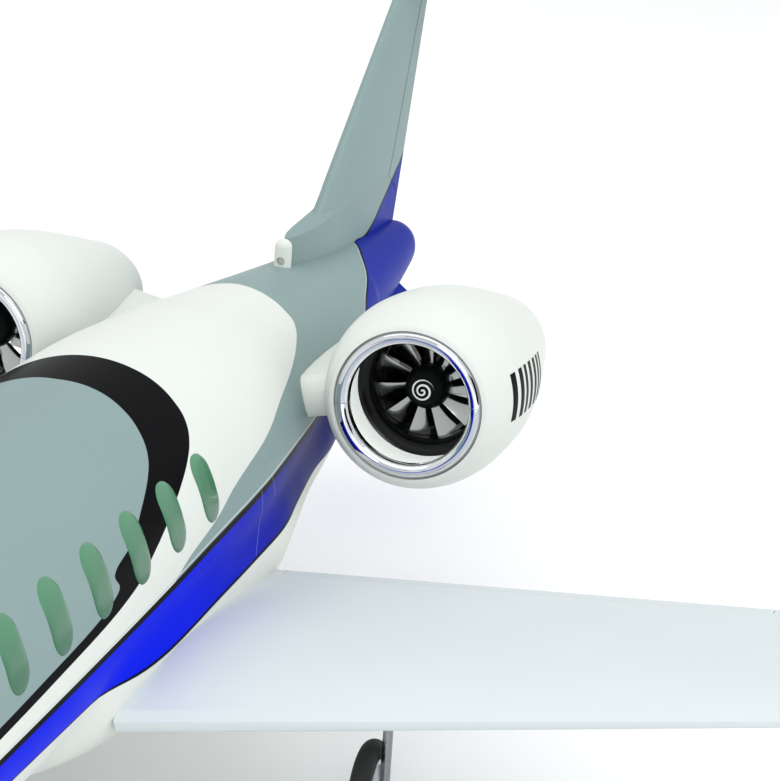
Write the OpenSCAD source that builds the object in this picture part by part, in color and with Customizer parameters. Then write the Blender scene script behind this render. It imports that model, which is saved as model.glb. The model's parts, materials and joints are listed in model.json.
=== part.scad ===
// Radio-controlled model of a twin-engined business jet.
// X points to port, Y points aft and Z points up. The origin lies on the floor, under the middle of
// the model's box. Inside craft(), Y is the station aft of the nose tip and Z starts at the cabin axis.

/* [Fuselage] */
// Outside diameter of the cabin tube
cabin_d = 180; // [174:1:184]
// Length of the nose, from its tip to the cabin tube
nose_len = 330; // [322:2:336]
// Length of the cabin tube
cabin_len = 670; // [660:2:680]
// Length of the tail body
tail_len = 654; // [640:2:670]
// Drop of the nose tip below the cabin axis
nose_droop = 34; // [20:1:44]
// Rise of the tail end above the cabin axis
tail_rise = 20; // [12:1:28]
// Wall of the moulded shells
skin_t = 3; // [2:0.5:4]
// Height of the cabin axis above the floor
axis_z = 172; // [168:1:180]
// Bottom of the belly fairing below the cabin axis
belly_drop = 104; // [100:1:108]
// Half width of the belly fairing beside the wing
belly_half = 92; // [90:0.5:95]
// Length of the belly fairing in front of the wing's trailing edge
belly_fore = 329; // [320:1:335]
// Distance of the belly fairing's end in front of the tail body's end
belly_short = 204; // [190:2:240]

/* [Windows] */
// Number of cabin windows on each side
window_count = 8; // [5:1:8]
// Height of a cabin window along the skin
window_h = 41; // [34:1:44]
// Width of a cabin window
window_w = 25; // [18:1:30]
// Distance from one window to the next
window_pitch = 56; // [50:1:60]
// Distance of the last window's middle in front of the tail joint
window_fore = 60; // [50:1:70]
// Angle of the windows above the horizontal
window_angle = 21.5; // [15:0.5:24]
// Depth of the recess that a pane lies in
pane_recess = 1.2; // [0.8:0.1:1.6]
// Gap around a pane
pane_gap = 0.15; // [0.1:0.05:0.3]
// Half width of the windscreen
windscreen_half = 62; // [56:1:64]
// Length of the windscreen
windscreen_len = 58; // [50:1:60]
// Length of a side pane of the cockpit
side_pane_len = 36; // [30:1:38]
// Height of a side pane of the cockpit
side_pane_h = 31; // [26:1:33]

/* [Hatch] */
// Distance of the hatch's front edge behind the nose joint
hatch_aft = 22; // [16:1:30]
// Length of the hatch
hatch_len = 284; // [270:2:286]
// Width of the hatch
hatch_w = 133; // [110:1:140]
// Gap round the hatch
hatch_gap = 0.6; // [0.4:0.1:1]

/* [Wing] */
// Distance of the straight trailing edge behind the tail joint
wing_aft = 64; // [56:1:70]
// Wing plane below the cabin axis, at the centre line
wing_drop = 63; // [61:0.5:65]
// Dihedral angle of each panel
dihedral = 4.4; // [3.6:0.1:5]
// Distance of the root face from the centre line, along the span
wing_root_x = 84; // [82:1:87]
// Distance of the tip from the centre line, along the span
wing_tip_x = 668; // [656:2:700]
// Chord at the root face
root_chord = 262; // [256:1:270]
// Chord at the tip
tip_chord = 112; // [104:1:120]
// Thickness of the root as a share of its chord
root_tc = 0.14; // [0.136:0.002:0.15]
// Thickness of the tip as a share of its chord
tip_tc = 0.12; // [0.112:0.002:0.13]
// Chord of the flaps
flap_chord = 50; // [46:1:54]
// Width of the flap that shows behind the upper skin
flap_show = 12; // [10:1:16]
// Thickness of the upper skin over the flap
flap_lip = 1.4; // [1:0.1:1.8]
// Flap's hinge line below the wing plane
flap_hinge_drop = 4; // [3:0.1:4.4]
// Inner end of the flap along the span
flap_in = 98; // [96:1:110]
// Outer end of the flap along the span
flap_out = 396; // [370:1:397]
// Chord of the ailerons, from the hinge line
aileron_chord = 44; // [40:1:47]
// Inner end of the aileron along the span
aileron_in = 404; // [403:1:420]
// Outer end of the aileron along the span
aileron_out = 646; // [620:1:648]
// Radius of the round nose of a wing surface
surface_nose = 2.2; // [2:0.1:2.6]
// Gap in front of and beside the moving surfaces
surface_gap = 0.6; // [0.5:0.1:0.9]
// Diameter of the hinge pins
hinge_pin_d = 2; // [1.6:0.1:2.2]
// Length that a hinge pin stands out of its surface
hinge_pin_out = 3.2; // [3:0.1:3.4]
// Height of the winglets above the tip
winglet_h = 96; // [80:1:110]
// Chord at the top of a winglet
winglet_top = 52; // [44:1:60]
// Diameter of the main joiner tube
joiner_d = 12; // [10:0.5:13]
// Diameter of the front locating tube
locator_d = 8; // [6:0.5:9]
// Half length of the joiner tubes
joiner_half = 170; // [150:1:176]
// Radial clearance of tubes, pins and rods in their bores
fit = 0.05; // [0.02:0.01:0.1]

/* [Tail] */
// Distance of the tailplane's trailing edge behind the tail body
tailplane_aft = 76; // [70:1:82]
// Tailplane above the cabin axis
tailplane_z = 239; // [234:1:244]
// Half span of the tailplane
tailplane_half = 238; // [230:1:250]
// Chord of the tailplane at the centre line
tailplane_root = 116; // [112:1:122]
// Chord of the tailplane at its tips
tailplane_tip = 54; // [50:1:60]
// Thickness of the tailplane as a share of its chord
tailplane_tc = 0.09; // [0.088:0.002:0.1]
// Chord of the elevators, from the hinge line
elevator_chord = 34; // [30:1:36]
// Distance of the elevators' outer ends inside the tailplane's tips
elevator_short = 14; // [12:1:28]
// Half width of the fixed block between the elevators
elevator_in = 8; // [7:0.5:10]
// Radius of the round nose of a tail surface
tail_nose = 1.6; // [1.4:0.1:1.8]
// Greatest thickness of the fin at its foot
fin_t = 19; // [17:0.5:21]
// Distance of the lower end of the rudder's hinge line in front of the end of the tail body
rudder_fore = 62; // [56:1:68]
// Lower end of the rudder's hinge line above the cabin axis
rudder_z = 84; // [82:1:88]
// Sweep of the rudder's hinge line
rudder_sweep = 28.6; // [27.6:0.1:29.6]
// Length of the rudder along its hinge line
rudder_len = 152; // [140:1:154]
// Angle of the delta fins below the horizontal
delta_angle = 43; // [38:1:48]
// Thickness of the delta fins
delta_t = 4; // [3:0.5:5]
// Reach of the delta fins from the tail's axis
delta_reach = 100; // [90:1:108]

/* [Nacelles] */
// Distance of a nacelle's axis from the centre line
nacelle_x = 148; // [146:1:152]
// Nacelle axis above the cabin axis
nacelle_z = 39; // [37:1:41]
// Distance of the plane of the inlet lips behind the tail joint
nacelle_aft = 130; // [126:1:136]
// Length of a cowl
cowl_len = 235; // [230:1:240]
// Greatest diameter of a cowl
cowl_d = 124.4; // [122:0.2:125]
// Diameter of the tail of a cowl
cowl_tail_d = 74; // [73:0.5:76]
// Drop of the cowl's middle line for each mm aft of its front
cowl_droop = 0.09; // [0.07:0.005:0.1]
// Wall of the cowl
cowl_t = 2.2; // [1.8:0.1:2.4]
// Outside diameter of the chrome lip
lip_d = 95; // [94.6:0.1:95]
// Inside diameter of the chrome lip
lip_in_d = 77; // [76.8:0.1:77.6]
// Wall of the chrome lip
lip_t = 1.2; // [0.8:0.1:1.4]
// Turn of the seam between the halves of the lip
lip_seam = 5.7; // [0:0.1:10]
// Wall of the inlet duct
duct_t = 1.3; // [1:0.1:1.5]
// Diameter of the fan rotor
rotor_d = 69; // [68.4:0.1:69.2]
// Inside diameter of the fan shroud
shroud_d = 70; // [69.9:0.1:70.2]
// Wall of the fan shroud
shroud_t = 1.5; // [1.2:0.1:1.6]
// Number of fan blades
blade_count = 11; // [9:1:12]
// Number of stator vanes
vane_count = 5; // [4:1:7]
// Diameter of the rotor hub and the spinner
hub_d = 29; // [28.5:0.5:30]
// Diameter of the motor can
motor_d = 28; // [26:0.5:28]
// Diameter of the motor shaft
shaft_d = 4; // [3:0.5:5]
// Thickness of a pylon
pylon_t = 27; // [25:0.5:29]
// Length of a pylon
pylon_len = 182; // [172:2:188]

/* [Landing gear] */
// Distance of the nose leg's pivot in front of the nose joint
nose_gear_fore = 30; // [28:1:32]
// Nose leg's pivot below the cabin axis
nose_pivot_drop = 54; // [53.5:0.5:55]
// Diameter of the nose tyre
nose_tyre_d = 46; // [43:1:46]
// Width of the nose tyre
nose_tyre_w = 10; // [8:0.5:10]
// Diameter of the hub in the nose tyre
nose_hub_d = 27; // [24:1:30]
// Distance of the main legs' pivots in front of the wing's trailing edge
main_fore = 99; // [97:1:106]
// Distance of a main leg's pivot from the centre line, along the span
main_gear_x = 192; // [191:1:194]
// Main leg's pivot below the wing plane
main_pivot_drop = 8.5; // [8.2:0.1:9]
// Diameter of the main tyres
main_tyre_d = 58; // [54:1:58]
// Width of the main tyres
main_tyre_w = 12; // [10:0.5:12]
// Diameter of the hubs in the main tyres
main_hub_d = 36; // [32:1:40]
// Diameter of the axles
axle_d = 4; // [3:0.5:4]
// Diameter of the legs
leg_d = 6; // [5:0.5:6.4]

/* [Equipment] */
// Top of the equipment tray below the cabin axis
tray_drop = 38; // [36:1:39]
// Thickness of the plywood
ply_t = 3; // [2.5:0.5:3]
// Width of the equipment tray
tray_w = 104; // [100:1:108]
// Width of the battery
battery_w = 48; // [40:1:52]
// Length of the battery
battery_len = 150; // [130:1:156]
// Height of the battery
battery_h = 46; // [36:1:50]
// Length of a speed controller
controller_len = 70; // [60:1:74]
// Length of the receiver
receiver_len = 44; // [38:1:50]
// Spacing of the four accessory holes in the tray
accessory_pitch = 30.5; // [30:0.1:31]
// Diameter of the accessory holes
accessory_d = 3.2; // [3:0.1:3.4]
// Thickness of a servo case
servo_w = 12; // [11:0.5:12]
// Length of a servo case
servo_len = 23; // [21:0.5:24]
// Height of a servo case
servo_h = 20; // [18:0.5:22]

/* [Hidden] */
$fn = 96;

LEFT = 1;
RIGHT = -1;
SIDES = [LEFT, RIGHT];

white = [0.93, 0.94, 0.92];
grey = [0.62, 0.68, 0.67];
blue = [0.16, 0.18, 0.7];
glass = [0.38, 0.55, 0.46];
black = [0.08, 0.08, 0.09];
chrome = [0.8, 0.81, 0.83];
steel = [0.66, 0.67, 0.69];
wood = [0.78, 0.66, 0.46];
rubber = [0.14, 0.14, 0.14];

seat = 0.15;     // gap of a piece glued to a curved skin
far = 400;       // reach of the cutting blocks
blend = 3;       // steps of a smooth curve from one point to the next
foil_steps = 14; // steps along one side of a wing section

cabin_r = cabin_d / 2;
tail_s = nose_len + cabin_len;
tail_end = tail_s + tail_len;
tail_te = tail_end + tailplane_aft; // also the length of the model
wing_te = tail_s + wing_aft;
belly_aft = tail_end - belly_short - wing_te;
elevator_out = tailplane_half - elevator_short;
nacelle_s = tail_s + nacelle_aft;
hatch_s = nose_len + hatch_aft;
nose_gear_s = nose_len - nose_gear_fore;
nose_tilt = atan(nose_droop / nose_len);
nose_reach = norm([nose_len, nose_droop]);
tail_tilt = atan(tail_rise / tail_len);

// Point t of the way from b to c on a smooth curve through a, b, c and d
function bend(a, b, c, d, t) = 0.5 * (2 * b + (c - a) * t + (2 * a - 5 * b + 4 * c - d) * pow(t, 2)
    + (3 * b - a - 3 * c + d) * pow(t, 3));

// Smooth curve through the points p
function curve(p, n = blend) = concat(
    [for (i = [0:len(p) - 2], k = [0:n - 1])
        bend(p[max(i - 1, 0)], p[i], p[i + 1], p[min(i + 2, len(p) - 1)], k / n)],
    [p[len(p) - 1]]);

// Row at x between the rows of a table that starts each row with its x
function row_at(x, table, i = 0) =
    i >= len(table) - 2 || x <= table[i + 1][0]
        ? table[i] + (table[i + 1] - table[i]) * (x - table[i][0]) / (table[i + 1][0] - table[i][0])
        : row_at(x, table, i + 1);

function reversed(p) = [for (i = [len(p) - 1:-1:0]) p[i]];
function last(p) = p[len(p) - 1];

// Half outlines of the nose and the tail, as shares: distance from the cabin tube, then radius
nose_line = [for (p = curve([[0, 1], [0.1, 0.99], [0.24, 0.93], [0.39, 0.81], [0.55, 0.66], [0.7, 0.505],
    [0.84, 0.345], [0.93, 0.215], [0.98, 0.11], [1, 0]])) [p[0] * nose_reach, p[1] * cabin_r]];
tail_line = [for (p = curve([[0, 1], [0.08, 0.977], [0.2, 0.892], [0.32, 0.785], [0.44, 0.672],
    [0.565, 0.559], [0.69, 0.454], [0.81, 0.358], [0.915, 0.272], [0.965, 0.22], [0.99, 0.13], [1, 0]]))
    [p[0] * tail_len, p[1] * cabin_r]];

// Belly fairing: station, middle below the cabin axis, half width and half height
belly_low_z = belly_drop - 62; // middle of the full section below the cabin axis
belly_table = curve([
    [wing_te - belly_fore, belly_low_z - 12, belly_half * 0.65, 54],
    [wing_te - belly_fore * 0.83, belly_low_z - 4, belly_half * 0.9, 60],
    [wing_te - belly_fore * 0.65, belly_low_z, belly_half, 62],
    [wing_te - belly_fore * 0.32, belly_low_z, belly_half, 62],
    [wing_te, belly_low_z, belly_half, 62],
    [wing_te + belly_aft * 0.17, belly_low_z - 6, belly_half * 0.9, 62],
    [wing_te + belly_aft * 0.33, belly_low_z - 14, belly_half * 0.81, 59],
    [wing_te + belly_aft * 0.48, belly_low_z - 24, belly_half * 0.77, 55],
    [wing_te + belly_aft * 0.64, belly_low_z - 34, belly_half * 0.7, 50],
    [wing_te + belly_aft * 0.79, belly_low_z - 44, belly_half * 0.6, 43],
    [wing_te + belly_aft, belly_low_z - 55, belly_half * 0.44, 33]], 2);

module craft() translate([0, -tail_te / 2, axis_z]) children();
module mirrored_to(side) mirror([side == LEFT ? 0 : 1, 0, 0]) children();
module along_y() rotate([-90, 0, 0]) children();
module along_x() rotate([0, 90, 0]) children();
module nose_frame() translate([0, nose_len, 0]) rotate([nose_tilt, 0, 0]) children();
module tail_frame() translate([0, tail_s, 0]) rotate([tail_tilt, 0, 0]) children();

// Rod along +Y or +X, from a to b
module rod_y(a, b, r) translate([0, a, 0]) along_y() cylinder(h = b - a, r = r);
module rod_x(a, b, r) translate([a, 0, 0]) along_x() cylinder(h = b - a, r = r);

// Block between two corners
module block(low, high) translate(low) cube(high - low);

// Solid turned about +Y from a half outline that ends on the axis, grown by g
module turned(line, g = 0)
    along_y() rotate_extrude() polygon(concat([[0, line[0][0]]],
        [for (p = line) if (p[1] + g > 0.01) [p[1] + g, p[0]]],
        [[0, last(line)[0] + g]]));

// The same as a shell with a wall, open where the outline starts
module turned_shell(line, wall) {
    inner = [for (p = line) if (p[1] > 2.5 * wall && p[0] < last(line)[0] - 3 * wall) p];
    along_y() rotate_extrude() polygon(concat(
        [for (p = line) [p[1], p[0]]],
        [[0, last(inner)[0]]],
        [for (p = reversed(inner)) [p[1] - wall, p[0]]]));
}

// Ring turned about +Y from an outline of [radius, distance] points
module ring(outline) along_y() rotate_extrude() polygon(outline);

// Solid skinned over rings of as many points each, which run counter-clockwise seen from the last one
module skinned(rings, curved_end = false) {
    n = len(rings[0]);
    m = (len(rings) - 1) * n;
    polyhedron(
        points = [for (line = rings, p = line) p],
        faces = concat(
            [[for (j = [0:n - 1]) j]],
            [for (i = [0:n:m - n], j = [0:n - 1], half = [0, 1])
                let (a = i + j, b = i + (j + 1) % n)
                half == 0 ? [b, a, a + n] : [b, a + n, b + n]],
            curved_end
                ? [for (j = [1:n - 2]) [m, m + j + 1, m + j]]
                : [[for (j = [n - 1:-1:0]) m + j]]),
        convexity = 4);
}

// Half thickness of a section at a share u of its chord from the nose, for a thickness of 1
function foil_half(u) = 5 * (0.2969 * sqrt(u) - 0.126 * u - 0.3516 * pow(u, 2) + 0.2843 * pow(u, 3)
    - 0.1015 * pow(u, 4));

// Wing section with its trailing edge at the origin: [distance aft, height] points, grown by g
function foil(chord, t, g = 0, edge = 0.3) =
    let (us = [for (k = [0:foil_steps]) (1 + cos(180 * k / foil_steps)) / 2])
    concat(
        [for (u = us) [(u - 1) * (chord + g) + g * u, chord * t * foil_half(u) + edge * u + g]],
        [for (k = [foil_steps - (g > 0 ? 0 : 1):-1:0])
            let (u = us[k]) [(u - 1) * (chord + g) + g * u, -chord * t * foil_half(u) - edge * u - g]]);

// FUSELAGE

module cabin_cut(front, back) {
    nose_frame() block([-far, -far + front, -far], [far, front, far]);
    tail_frame() block([-far, back, -far], [far, far + back, far]);
}

// Rounded upright rectangle, as points
function round_rect(w, h, r) = [for (q = [0:3], a = [0:15:90])
    let (cx = (q == 0 || q == 3 ? 1 : -1) * (w / 2 - r), cz = (q < 2 ? 1 : -1) * (h / 2 - r))
    [cx + r * cos(a + 90 * q), cz + r * sin(a + 90 * q)]];

// Prisms through the skin at every cabin window, less g all round
module window_prisms(g = 0)
    for (side = SIDES, i = [0:window_count - 1])
        mirrored_to(side) translate([0, tail_s - window_fore - i * window_pitch, 0])
            rotate([0, 90 - window_angle, 0]) rotate([0, 0, 90])
                linear_extrude(cabin_r + 5)
                    polygon(round_rect(window_w - 2 * g, window_h - 2 * g, window_w * 0.42 - g));

// Outlines of the cockpit panes as shares of their sizes, from their front ends
windscreen_outline = [[0.03, 0], [0.36, 0.03], [0.68, 0.21], [0.94, 0.52], [1, 0.83], [0.94, 1], [0.58, 0.72],
    [0.03, 0.59]];
side_pane_outline = [[0.08, 0], [0.92, 0.1], [1, 0.52], [0.83, 0.94], [0.36, 1], [0, 0.58]];
windscreen_fore = 104; // front end of the windscreen in front of the nose joint
side_pane_fore = 49;   // front end of a side pane in front of the nose joint
side_pane_z = 24;

// Windscreen prisms, seen from above, and side pane prisms, seen from the side, less g all round
module cockpit_prisms(g = 0)
    for (side = SIDES) mirrored_to(side) translate([0, nose_len, 0]) {
        linear_extrude(far) offset(delta = -g) polygon([for (p = windscreen_outline)
            [p[0] * windscreen_half, p[1] * windscreen_len - windscreen_fore]]);
        translate([30, 0, 0]) rotate([90, 0, 90]) linear_extrude(far) offset(delta = -g)
            polygon([for (p = side_pane_outline)
                [p[0] * side_pane_len - side_pane_fore, p[1] * side_pane_h + side_pane_z]]);
    }

module hatch_block(g)
    block([-hatch_w / 2 - g, hatch_s - g, skin_t], [hatch_w / 2 + g, hatch_s + hatch_len + g, far]);

module joiner_rods(g) {
    translate([0, joiner_s, joiner_z]) rod_x(-joiner_half - g, joiner_half + g, joiner_d / 2 + g);
    translate([0, locator_s, joiner_z]) rod_x(-joiner_half - g, joiner_half + g, locator_d / 2 + g);
}

module nose_shell() color(white) craft() difference() {
    nose_frame() mirror([0, 1, 0]) turned_shell(nose_line, skin_t);
    intersection() {
        cockpit_prisms();
        nose_frame() mirror([0, 1, 0]) difference() {
            turned(nose_line, 2);
            turned(nose_line, -pane_recess);
        }
    }
    nose_well();
}

module cockpit_glass() color(glass) craft() intersection() {
    cockpit_prisms(pane_gap * 2);
    nose_frame() mirror([0, 1, 0]) difference() {
        turned(nose_line);
        turned(nose_line, pane_gap - pane_recess);
    }
}

module cabin_shell() color(white) craft() difference() {
    rod_y(nose_len - 20, tail_s + 20, cabin_r);
    rod_y(nose_len - 21, tail_s + 21, cabin_r - skin_t);
    cabin_cut(0, 0);
    intersection() {
        window_prisms();
        difference() {
            rod_y(nose_len, tail_s, cabin_r + 2);
            rod_y(nose_len - 1, tail_s + 1, cabin_r - pane_recess);
        }
    }
    hatch_block(0);
    joiner_rods(fit);
    belly_screw_rods(belly_screw_d / 2 + fit, 0);
}

module cabin_windows() color(glass) craft() intersection() {
    window_prisms(pane_gap);
    difference() {
        rod_y(nose_len, tail_s, cabin_r);
        rod_y(nose_len - 1, tail_s + 1, cabin_r - pane_recess + pane_gap);
    }
}

module hatch() color(white) craft() intersection() {
    difference() {
        rod_y(hatch_s - 5, hatch_s + hatch_len + 5, cabin_r);
        rod_y(hatch_s - 6, hatch_s + hatch_len + 6, cabin_r - skin_t);
    }
    hatch_block(-hatch_gap);
}

module tail_shell() color(grey) craft() tail_frame() turned_shell(tail_line, skin_t);

// Elliptical section of the fairing, less a wall
function belly_section(row, wall) = [for (a = [0:10:350])
    [-(row[2] - wall) * cos(a), row[0], (row[3] - wall) * sin(a) - row[1]]];

// Height of the fairing's underside at x and s
function belly_low(x, s) = let (row = row_at(s, belly_table)) -row[1] - row[3] * sqrt(1 - pow(x / row[2], 2));

belly_screw_x = 38;
belly_screw_d = 3;
belly_head_d = 7;
belly_head_h = 3;
belly_post_r = 6.5;
belly_screw_s = [wing_te - 252, wing_te - 79];

// Rods at the fairing's screws: shanks of radius r, with heads grown by g
module belly_screw_rods(r, g)
    for (x = [-belly_screw_x, belly_screw_x], s = belly_screw_s)
        translate([x, s, belly_low(belly_screw_x, s) + 2]) {
            cylinder(h = 30, r = r);
            translate([0, 0, -g * 20]) cylinder(h = belly_head_h + g * 20, r = belly_head_d / 2 + g);
        }

module belly_fairing() color(white) craft() difference() {
    skinned([for (row = belly_table) belly_section(row, 0)]);
    difference() {
        skinned([for (row = belly_table) belly_section(row, skin_t)]);
        for (x = [-belly_screw_x, belly_screw_x], s = belly_screw_s)
            translate([x, s, -far]) cylinder(h = far, r = belly_post_r);
    }
    rod_y(nose_len, tail_s, cabin_r + seat);
    tail_frame() {
        rod_y(-20, 1, cabin_r + seat);
        turned(tail_line, seat);
    }
    for (side = SIDES) {
        wing_panel(side, seat * 2, wing_root_x - seat * 2);
        main_well(side);
    }
    joiner_rods(seat);
    belly_screw_rods(belly_screw_d / 2 + seat, seat);
}

module belly_screws() color(steel) craft() belly_screw_rods(belly_screw_d / 2, 0);

module dorsal_scoop() color(white) craft() difference() {
    translate([0, scoop_s, 0]) {
        cylinder(h = scoop_top - scoop_r, r = scoop_r);
        translate([0, 0, scoop_top - scoop_r]) sphere(r = scoop_r);
    }
    tail_frame() turned(tail_line, seat);
    translate([0, scoop_s - scoop_r - 1, scoop_mouth_z]) rod_y(0, scoop_r + 1, scoop_r / 2);
}

// TAIL

scoop_r = 6;
scoop_s = tail_end - 316;
scoop_top = 84;
scoop_mouth_z = 69;

// Fin: height above the cabin axis, station of its front edge, station of its back edge, thickness
fin_table = [
    [scoop_top - 48, tail_end - 310, tail_end - 27, fin_t - 1],
    [scoop_top - 1, tail_end - 309, tail_end - 9, fin_t - 1],
    [scoop_top + 1, tail_end - 260, tail_end - 8.4, fin_t],
    [scoop_top + 3, tail_end - 241, tail_end - 7.6, fin_t],
    [scoop_top + 11, tail_end - 228, tail_end - 5, fin_t],
    [scoop_top + 19, tail_end - 218, tail_end - 2, fin_t - 0.4],
    [tailplane_z - 2, tail_te - 111, tail_te - 28, fin_t * 0.47]];

module fin_body() skinned([for (row = fin_table)
    let (chord = row[2] - row[1])
    [for (p = foil(chord, row[3] / chord)) [-p[1], row[2] + p[0], row[0]]]]);

module rudder_frame() translate([0, tail_end - rudder_fore, rudder_z])
    rotate([-rudder_sweep, 0, 0]) children();

// Outline of a moving surface that swings both ways: a round nose on the hinge line, and bevels
surface_bevel = 32;
module surface_outline(nose) {
    circle(r = nose, $fn = 32);
    polygon([[0, 0], [20 * tan(surface_bevel), 20], [90, 20], [90, -20], [20 * tan(surface_bevel), -20]]);
}

module fin() color(grey) craft() difference() {
    fin_body();
    tail_frame() turned(tail_line, seat);
    tailplane_body(seat);
    rudder_frame() {
        block([-far, -tail_nose - surface_gap, 0], [far, far, rudder_len]);
        translate([0, 0, -hinge_pin_out]) cylinder(h = rudder_len + 2 * hinge_pin_out, r = tail_pin_r + fit);
    }
}

tail_pin_r = 0.8;

module rudder() color(blue) craft() {
    intersection() {
        fin_body();
        rudder_frame() translate([0, 0, surface_gap]) rotate([0, 0, 90])
            linear_extrude(rudder_len - 2 * surface_gap) surface_outline(tail_nose);
    }
    rudder_frame() for (z = [-hinge_pin_out + surface_gap, rudder_len - surface_gap - hinge_pin_out])
        translate([0, 0, z]) cylinder(h = 2 * hinge_pin_out, r = tail_pin_r);
}

function tailplane_chord(x) = tailplane_root + (tailplane_tip - tailplane_root) * x / tailplane_half;

// Section of the tailplane at x, of a chord and a thickness share, moved forward
function tailplane_section(x, chord, tc, g, fore) = [for (p = foil(chord, tc, g)) [x, p[0] - fore, p[1]]];

module tailplane_half_body(g) translate([0, tail_te, tailplane_z]) skinned([
    tailplane_section(0, tailplane_root, tailplane_tc, g, 0),
    tailplane_section(tailplane_half * 0.98, tailplane_chord(tailplane_half * 0.98), tailplane_tc, g, 0),
    tailplane_section(tailplane_half, tailplane_tip * 0.74, tailplane_tc / 2, g, tailplane_tip * 0.09)]);

module tailplane_body(g = 0) for (side = SIDES) mirrored_to(side) tailplane_half_body(g);

module elevator_line() translate([0, tail_te - elevator_chord, tailplane_z]) children();

module tailplane() color(white) craft() difference() {
    tailplane_body();
    elevator_line() {
        for (side = SIDES) mirrored_to(side) {
            block([elevator_in, -tail_nose - surface_gap, -far], [elevator_out, far, far]);
            rod_x(elevator_out - 1, elevator_out + hinge_pin_out, tail_pin_r + fit);
        }
        rod_x(-elevator_in - 1, elevator_in + 1, joiner_wire_r + fit);
    }
}

joiner_wire_r = 1;
joiner_wire_in = 8; // depth of the wire in each elevator
joiner_wire_half = elevator_in + surface_gap + joiner_wire_in;

module elevator(side) color(white) craft() mirrored_to(side) {
    difference() {
        intersection() {
            tailplane_half_body(0);
            elevator_line() translate([elevator_in + surface_gap, 0, 0]) rotate([90, 0, 90])
                linear_extrude(elevator_out - elevator_in - 2 * surface_gap) surface_outline(tail_nose);
        }
        elevator_line() rod_x(0, joiner_wire_half + fit, joiner_wire_r + fit);
    }
    elevator_line() translate([elevator_out - surface_gap, 0, 0])
        rod_x(-hinge_pin_out, hinge_pin_out, tail_pin_r);
}

module elevator_joiner() color(steel) craft() elevator_line()
    rod_x(-joiner_wire_half, joiner_wire_half, joiner_wire_r);

// Delta fin's outline: share of its reach from the tail's axis, distance in front of the end of the tail
delta_outline = [[0.12, 224], [0.3, 202], [0.94, 84], [1, 68], [0.97, 58], [0.2, 72], [0.12, 79]];

module delta_fin(side) color(blue) craft() mirrored_to(side) difference() {
    tail_frame() rotate([0, delta_angle, 0]) translate([0, tail_len, -delta_t / 2])
        linear_extrude(delta_t) polygon([for (p = delta_outline) [p[0] * delta_reach, -p[1]]]);
    tail_frame() turned(tail_line, seat);
}

// WING

joiner_s = wing_te - 172;
locator_s = wing_te - 216;
joiner_z = -54;

function wing_chord(x) =
    root_chord + (tip_chord - root_chord) * (x - wing_root_x) / (wing_tip_x - wing_root_x);
function wing_tc(x) = root_tc + (tip_tc - root_tc) * (x - wing_root_x) / (wing_tip_x - wing_root_x);

// Half thickness of the wing at x along the span, at a distance in front of the trailing edge
function wing_half(x, fore) = wing_chord(x) * wing_tc(x) * foil_half(1 - fore / wing_chord(x));

module wing_frame(side) mirrored_to(side)
    translate([0, wing_te, -wing_drop]) rotate([0, -dihedral, 0]) children();

// Panel from x0 to x1 along the span, in the wing's own frame, grown by g
module panel_body(x0, x1, g = 0)
    skinned([for (x = [x0, x1]) [for (p = foil(wing_chord(x), wing_tc(x), g)) [x, p[0], p[1]]]]);

module wing_panel(side, g, x0) wing_frame(side) panel_body(x0, wing_tip_x, g);

module flap_line() translate([0, -flap_chord, -flap_hinge_drop]) children();
module aileron_line() translate([0, -aileron_chord, 0]) children();

// Everything under the upper skin in front of the strip of flap that shows
module under_lip(g) {
    block([flap_in - 9, -flap_show + g, -far], [flap_out + 9, far, far]);
    translate([0, 0, -flap_lip - g]) panel_body(flap_in - 9, flap_out + 9);
}

module flap_bay() {
    intersection() {
        flap_line() block([flap_in, -surface_nose - surface_gap, -far], [flap_out, far, far]);
        under_lip(0);
    }
    flap_line() rod_x(flap_in - hinge_pin_out, flap_out + hinge_pin_out, hinge_pin_d / 2 + fit);
}

module aileron_bay() aileron_line() {
    block([aileron_in, -surface_nose - surface_gap, -far], [aileron_out, far, far]);
    rod_x(aileron_in - hinge_pin_out, aileron_out + hinge_pin_out, hinge_pin_d / 2 + fit);
}

module end_pins(x0, x1)
    for (x = [x0 + surface_gap, x1 - surface_gap])
        rod_x(x - hinge_pin_out, x + hinge_pin_out, hinge_pin_d / 2);

module wing(side) color(white) craft() difference() {
    wing_panel(side, 0, wing_root_x);
    wing_frame(side) {
        flap_bay();
        aileron_bay();
        for (place = servo_places) translate(place)
            block([-servo_h / 2 - seat, -servo_len / 2 - seat, -far],
                  [servo_h / 2 + seat, servo_len / 2 + seat, servo_w / 2 + seat]);
    }
    main_well(side);
    joiner_rods(fit);
}

module wing_joiners() color(black) craft() joiner_rods(0);

module flap(side) color(white) craft() wing_frame(side) {
    intersection() {
        panel_body(flap_in - 9, flap_out + 9);
        flap_line() translate([flap_in + surface_gap, 0, 0]) rotate([90, 0, 90])
            linear_extrude(flap_out - flap_in - 2 * surface_gap) {
                circle(r = surface_nose, $fn = 32);
                polygon([[0, 0], [0, 20], [90, 20], [90, -20], [20 * tan(flap_down + 4), -20]]);
            }
        under_lip(surface_gap * 0.7);
    }
    flap_line() end_pins(flap_in, flap_out);
}

flap_down = 35; // full travel of the flaps

module aileron(side) color(white) craft() wing_frame(side) {
    intersection() {
        panel_body(aileron_in - 9, aileron_out + 9);
        aileron_line() translate([aileron_in + surface_gap, 0, 0]) rotate([90, 0, 90])
            linear_extrude(aileron_out - aileron_in - 2 * surface_gap) surface_outline(surface_nose);
    }
    aileron_line() end_pins(aileron_in, aileron_out);
}

// Winglet: distance out from the tip, height, share of the way to its top, and lean of the section
winglet_steps = [for (k = [0:6]) let (t = k / 6, a = 82 * min(1, t * 1.6))
    [30 * sin(min(90, t * 120)) + 14 * t, winglet_h * pow(t, 1.6), t, a]];

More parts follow.
